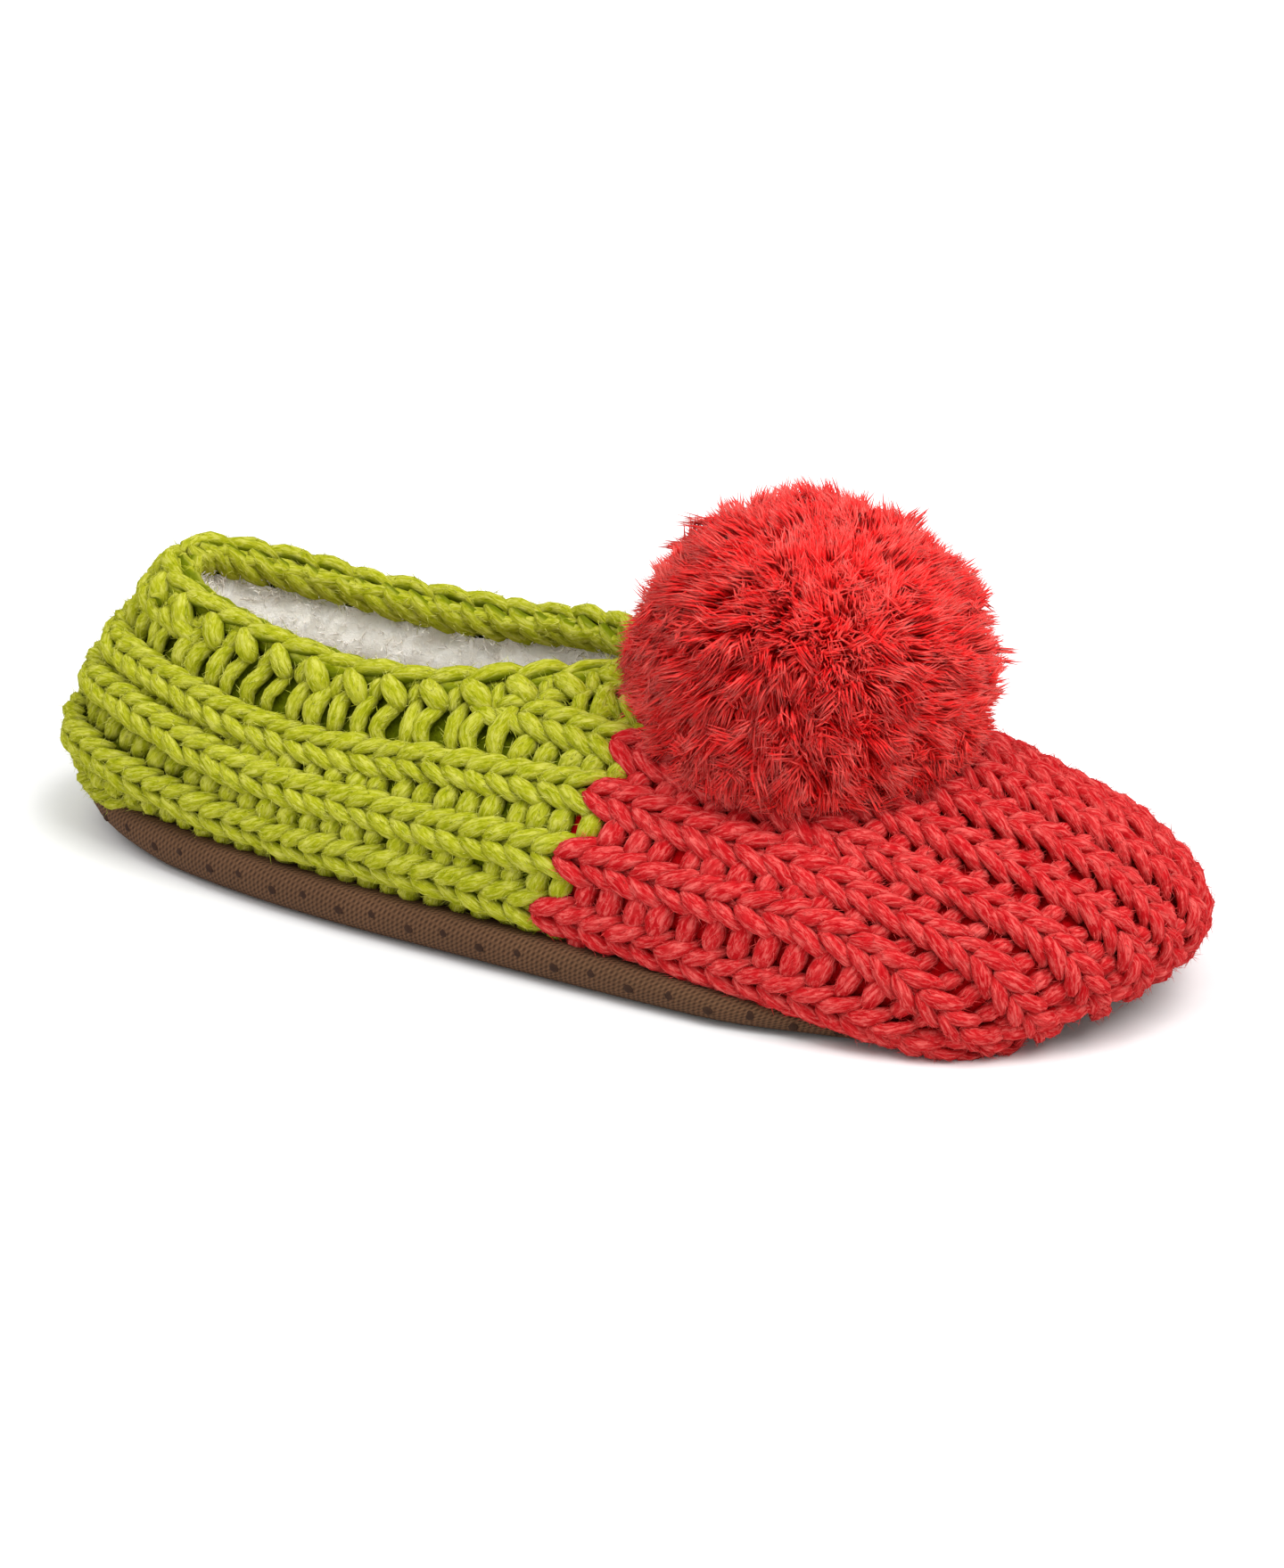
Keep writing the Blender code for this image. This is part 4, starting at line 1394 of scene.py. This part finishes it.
def sole_finish():
    """Brown twill: fine slanting ribs, with threads across them and slight fading."""
    f = Finish("brown_twill")
    cloth = f.strand_place(1.0, 1.0)
    ribs = f.bands(cloth, 16.0, Scale=0.31, Distortion=0.7, Detail_Scale=2.0)
    weft = f.bands(cloth, 58.0, Scale=0.45, Distortion=1.2)
    threads = f.noise(f.strand_place(2.2, 2.6))
    fade = f.noise(f.object_place(70.0))
    along = f.ramp(ribs, (0.05, colour(50, 31, 20)), (0.8, colour(116, 83, 59)))
    across = f.ramp(weft, (0.1, colour(48, 30, 19)), (0.7, colour(116, 83, 58)))
    worn = f.ramp(threads, (0.3, colour(66, 43, 28)), (0.7, colour(112, 79, 55)))
    shade = f.ramp(fade, (0.3, grey(0.86)), (0.7, grey(1.0)))
    woven = f.blend(f.blend(along, across, 0.5), worn, 0.25)
    f.set(Base_Color=f.blend(woven, shade, 1.0, "MULTIPLY"))
    relief = f.bump(weft, 0.7, 0.2, f.bump(ribs, 0.6, 0.25))
    f.set(Normal=f.bump(threads, 0.3, 0.15, relief))
    f.set(Roughness=0.92, Specular_IOR_Level=0.15)
    return f.material


def dot_finish():
    """Dark moulded rubber with a fine grain."""
    f = Finish("dark_grip_rubber")
    grain = f.noise(f.object_place(700.0))
    f.set(Base_Color=f.ramp(grain, (0.3, colour(44, 27, 18)), (0.7, colour(58, 37, 26))))
    f.set(Normal=f.bump(grain, 0.2, 0.2), Roughness=0.85, Specular_IOR_Level=0.15)
    return f.material


def tuft_finish(name, root, deep, body, bright):
    """Cut and frayed yarn ends: a deep red painted at the root as painted shade between the strands, uneven
    tones outside, shaded softly as a ball.
    """
    f = Finish(name)
    middle = POMPOM_MIDDLE * MM
    fibres = f.noise(f.strand_place(0.3, 3.0))
    tufts = f.noise(f.object_place(220.0))
    place = f.object_place(1.0)
    # Painted shade: towards the pompom's middle the colour turns to the root colour, standing in for the
    # shade deep between the strands.
    reach = {
        "Value": f.vector("DISTANCE", place, middle),
        "From Min": POMPOM_RADIUS * 0.82 * MM,
        "From Max": POMPOM_RADIUS * 1.02 * MM,
    }
    depth = f.node("MapRange", reach).outputs["Result"]
    tone = f.ramp(fibres, (0.3, deep), (0.48, body), (0.66, bright))
    patch = f.ramp(tufts, (0.3, deep), (0.46, body), (0.7, bright))
    shown = f.ramp(depth, (0.05, grey(0.0)), (0.8, grey(1.0)))
    f.set(Base_Color=f.blend(root, f.blend(tone, patch, 0.45), shown))
    ball = f.vector("NORMALIZE", f.vector("SUBTRACT", place, middle))
    lifted = f.vector("ADD", ball, (0.0, 0.0, 0.55))
    own = f.vector("SCALE", f.node("NewGeometry").outputs["Normal"], 0.3)
    f.set(Normal=f.vector("NORMALIZE", f.vector("ADD", lifted, own)))
    f.set(Roughness=0.95, Specular_IOR_Level=0.02)
    f.set(Subsurface_Weight=0.4, Subsurface_Radius=(1.0, 0.2, 0.18), Subsurface_Scale=1.2 * MM)
    return f.material


# The pieces, dressed
# Painted shade: the first colour of each yarn is the crease colour, painted on the strands' flanks for the
# shade between strands; the others are the yarn's own tones.
YARN_GREENS_WITH_PAINTED_SHADE = (colour(86, 99, 0), colour(113, 123, 2), colour(158, 160, 28), colour(192, 190, 90))
YARN_REDS_WITH_PAINTED_SHADE = (colour(156, 0, 6), colour(158, 1, 9), colour(186, 32, 36), colour(222, 102, 96))
# Painted light: the loose fibres' greens and reds are lighter than the yarn's, standing in for light that
# passes through the fine fibres.
HAIR_GREENS_WITH_PAINTED_LIGHT = (colour(172, 176, 44), colour(206, 206, 104))
HAIR_REDS_WITH_PAINTED_LIGHT = (colour(198, 40, 42), colour(224, 92, 88))
PILE_WHITES = (colour(252, 245, 235), colour(255, 250, 243))
# Painted shade: the pompom's first red is painted at the strands' roots for the shade between them; the
# others are its own tones.
POMPOM_REDS_WITH_PAINTED_SHADE = (colour(250, 0, 6), colour(238, 8, 16), colour(242, 42, 42), colour(247, 106, 97))
# Painted shade: the heart's reds are darker than the strands', so the gaps between the strands read as shade.
PAINTED_SHADE_HEART_REDS = (colour(178, 2, 9), colour(178, 2, 9), colour(192, 4, 12), colour(208, 10, 18))
CURL_COUNTS = (10000, 1500)


def dress(piece, material, slot, *nodes):
    """Gives a piece its finish, and says what it rides on and the solids that it stands for. Its slot is not
    used.
    """
    piece.data.materials.append(material)
    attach(piece, "root")
    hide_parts(*nodes)
    return piece


green_yarn = yarn_finish("lime_green_yarn", *YARN_GREENS_WITH_PAINTED_SHADE)
red_yarn = yarn_finish("coral_red_yarn", *YARN_REDS_WITH_PAINTED_SHADE)
knit_heel, knit_toe = knit()
dress(knit_heel, green_yarn, "knit", "upper")
dress(knit_toe, red_yarn, "knit", "upper")
dress(ground(), painted_shade_ground_finish(), "knit", "upper")
fleece = fleece_finish()
lining = dress(fleece_lining(), fleece, "fleece", "upper")
insole = dress(make_insole(), fleece, "fleece", "insole")
curls = fleece_curls("fleece_pile", (lining, insole), CURL_COUNTS, 21)
dress(curls, hair_finish("white_pile", *PILE_WHITES), "fleece", "upper", "insole")
dress(make_sole(), sole_finish(), "sole_fabric", "outsole")
dress(grip_dots(), dot_finish(), "sole_fabric", "outsole")
dress(crochet_edge(), green_yarn, "edging_yarn", "collar_edging")
green_hair = hair_finish("lime_green_hair", *HAIR_GREENS_WITH_PAINTED_LIGHT)
red_hair = hair_finish("coral_red_hair", *HAIR_REDS_WITH_PAINTED_LIGHT)
dress(loose_fibres("green_fuzz", green_strands, 16, 31), green_hair, "knit", "upper")
dress(loose_fibres("red_fuzz", red_strands, 14, 32), red_hair, "knit", "upper")
pompom_red = tuft_finish("pompom_red", *POMPOM_REDS_WITH_PAINTED_SHADE)
for strands in pompom():
    dress(strands, pompom_red, "pompom_yarn", "pompom")
dress(pompom_heart(), tuft_finish("pompom_shade", *PAINTED_SHADE_HEART_REDS), "pompom_yarn", "pompom")

# Studio: lengths in metres. Each lamp has a name, a place, a width and a power.
FLOOR_SIZE = 40.0
WORLD_LIGHT = 0.72
LAMPS = (("key", (1.15, -0.25, 2.15), 1.7, 57.0), ("fill", (-0.6, -1.0, 2.2), 1.6, 24.0))
LAMP_AIM = Vector((0.0, 0.0, 0.03))
CAMERA_TURN = math.radians(27.0)
CAMERA_RISE = math.radians(23.0)
CAMERA_AIM = Vector((0.0055, 0.0, 0.0246))
CAMERA_AWAY = 0.78
FOCAL_PIXELS = 4446.0
PHOTO_WIDTH = 1440
SENSOR = 36.0


def aimed(direction):
    """The rotation of a lamp or a camera that looks along a direction."""
    return direction.to_track_quat("-Z", "Y").to_euler()


def studio():
    """A white paper floor under soft light from all round and two lamps above."""
    deselect()
    bpy.ops.mesh.primitive_plane_add(size=FLOOR_SIZE, location=(0, 0, 0))
    floor = bpy.context.object
    floor.name = "studio_floor"
    paper = Finish("white_paper")
    grain = paper.noise(paper.object_place(60.0))
    paper.set(Base_Color=paper.ramp(grain, (0.3, grey(0.8)), (0.7, grey(0.82))), Roughness=0.95)
    floor.data.materials.append(paper.material)
    world = bpy.data.worlds.new("studio")
    bpy.context.scene.world = world
    world.use_nodes = True
    background = world.node_tree.nodes["Background"]
    background.inputs["Color"].default_value = grey(1.0)
    background.inputs["Strength"].default_value = WORLD_LIGHT
    for name, place, size, power in LAMPS:
        lamp = bpy.data.lights.new(name, "AREA")
        lamp.size = size
        lamp.energy = power
        light = bpy.data.objects.new(name, lamp)
        bpy.context.scene.collection.objects.link(light)
        light.location = place
        light.rotation_euler = aimed(LAMP_AIM - Vector(place))


def photo_camera():
    """The camera at the photograph's angle and distance."""
    level = math.cos(CAMERA_RISE)
    towards = Vector((math.sin(CAMERA_TURN) * level, -math.cos(CAMERA_TURN) * level, math.sin(CAMERA_RISE)))
    lens = bpy.data.cameras.new("photo_camera")
    lens.sensor_fit = "HORIZONTAL"
    lens.sensor_width = SENSOR
    lens.lens = SENSOR * FOCAL_PIXELS / PHOTO_WIDTH
    lens.clip_start = 0.05
    camera = bpy.data.objects.new("photo_camera", lens)
    bpy.context.scene.collection.objects.link(camera)
    camera.location = CAMERA_AIM + towards * CAMERA_AWAY
    camera.rotation_euler = aimed(-towards)
    bpy.context.scene.camera = camera


studio()
photo_camera()
bpy.context.scene.view_settings.view_transform = "Standard"
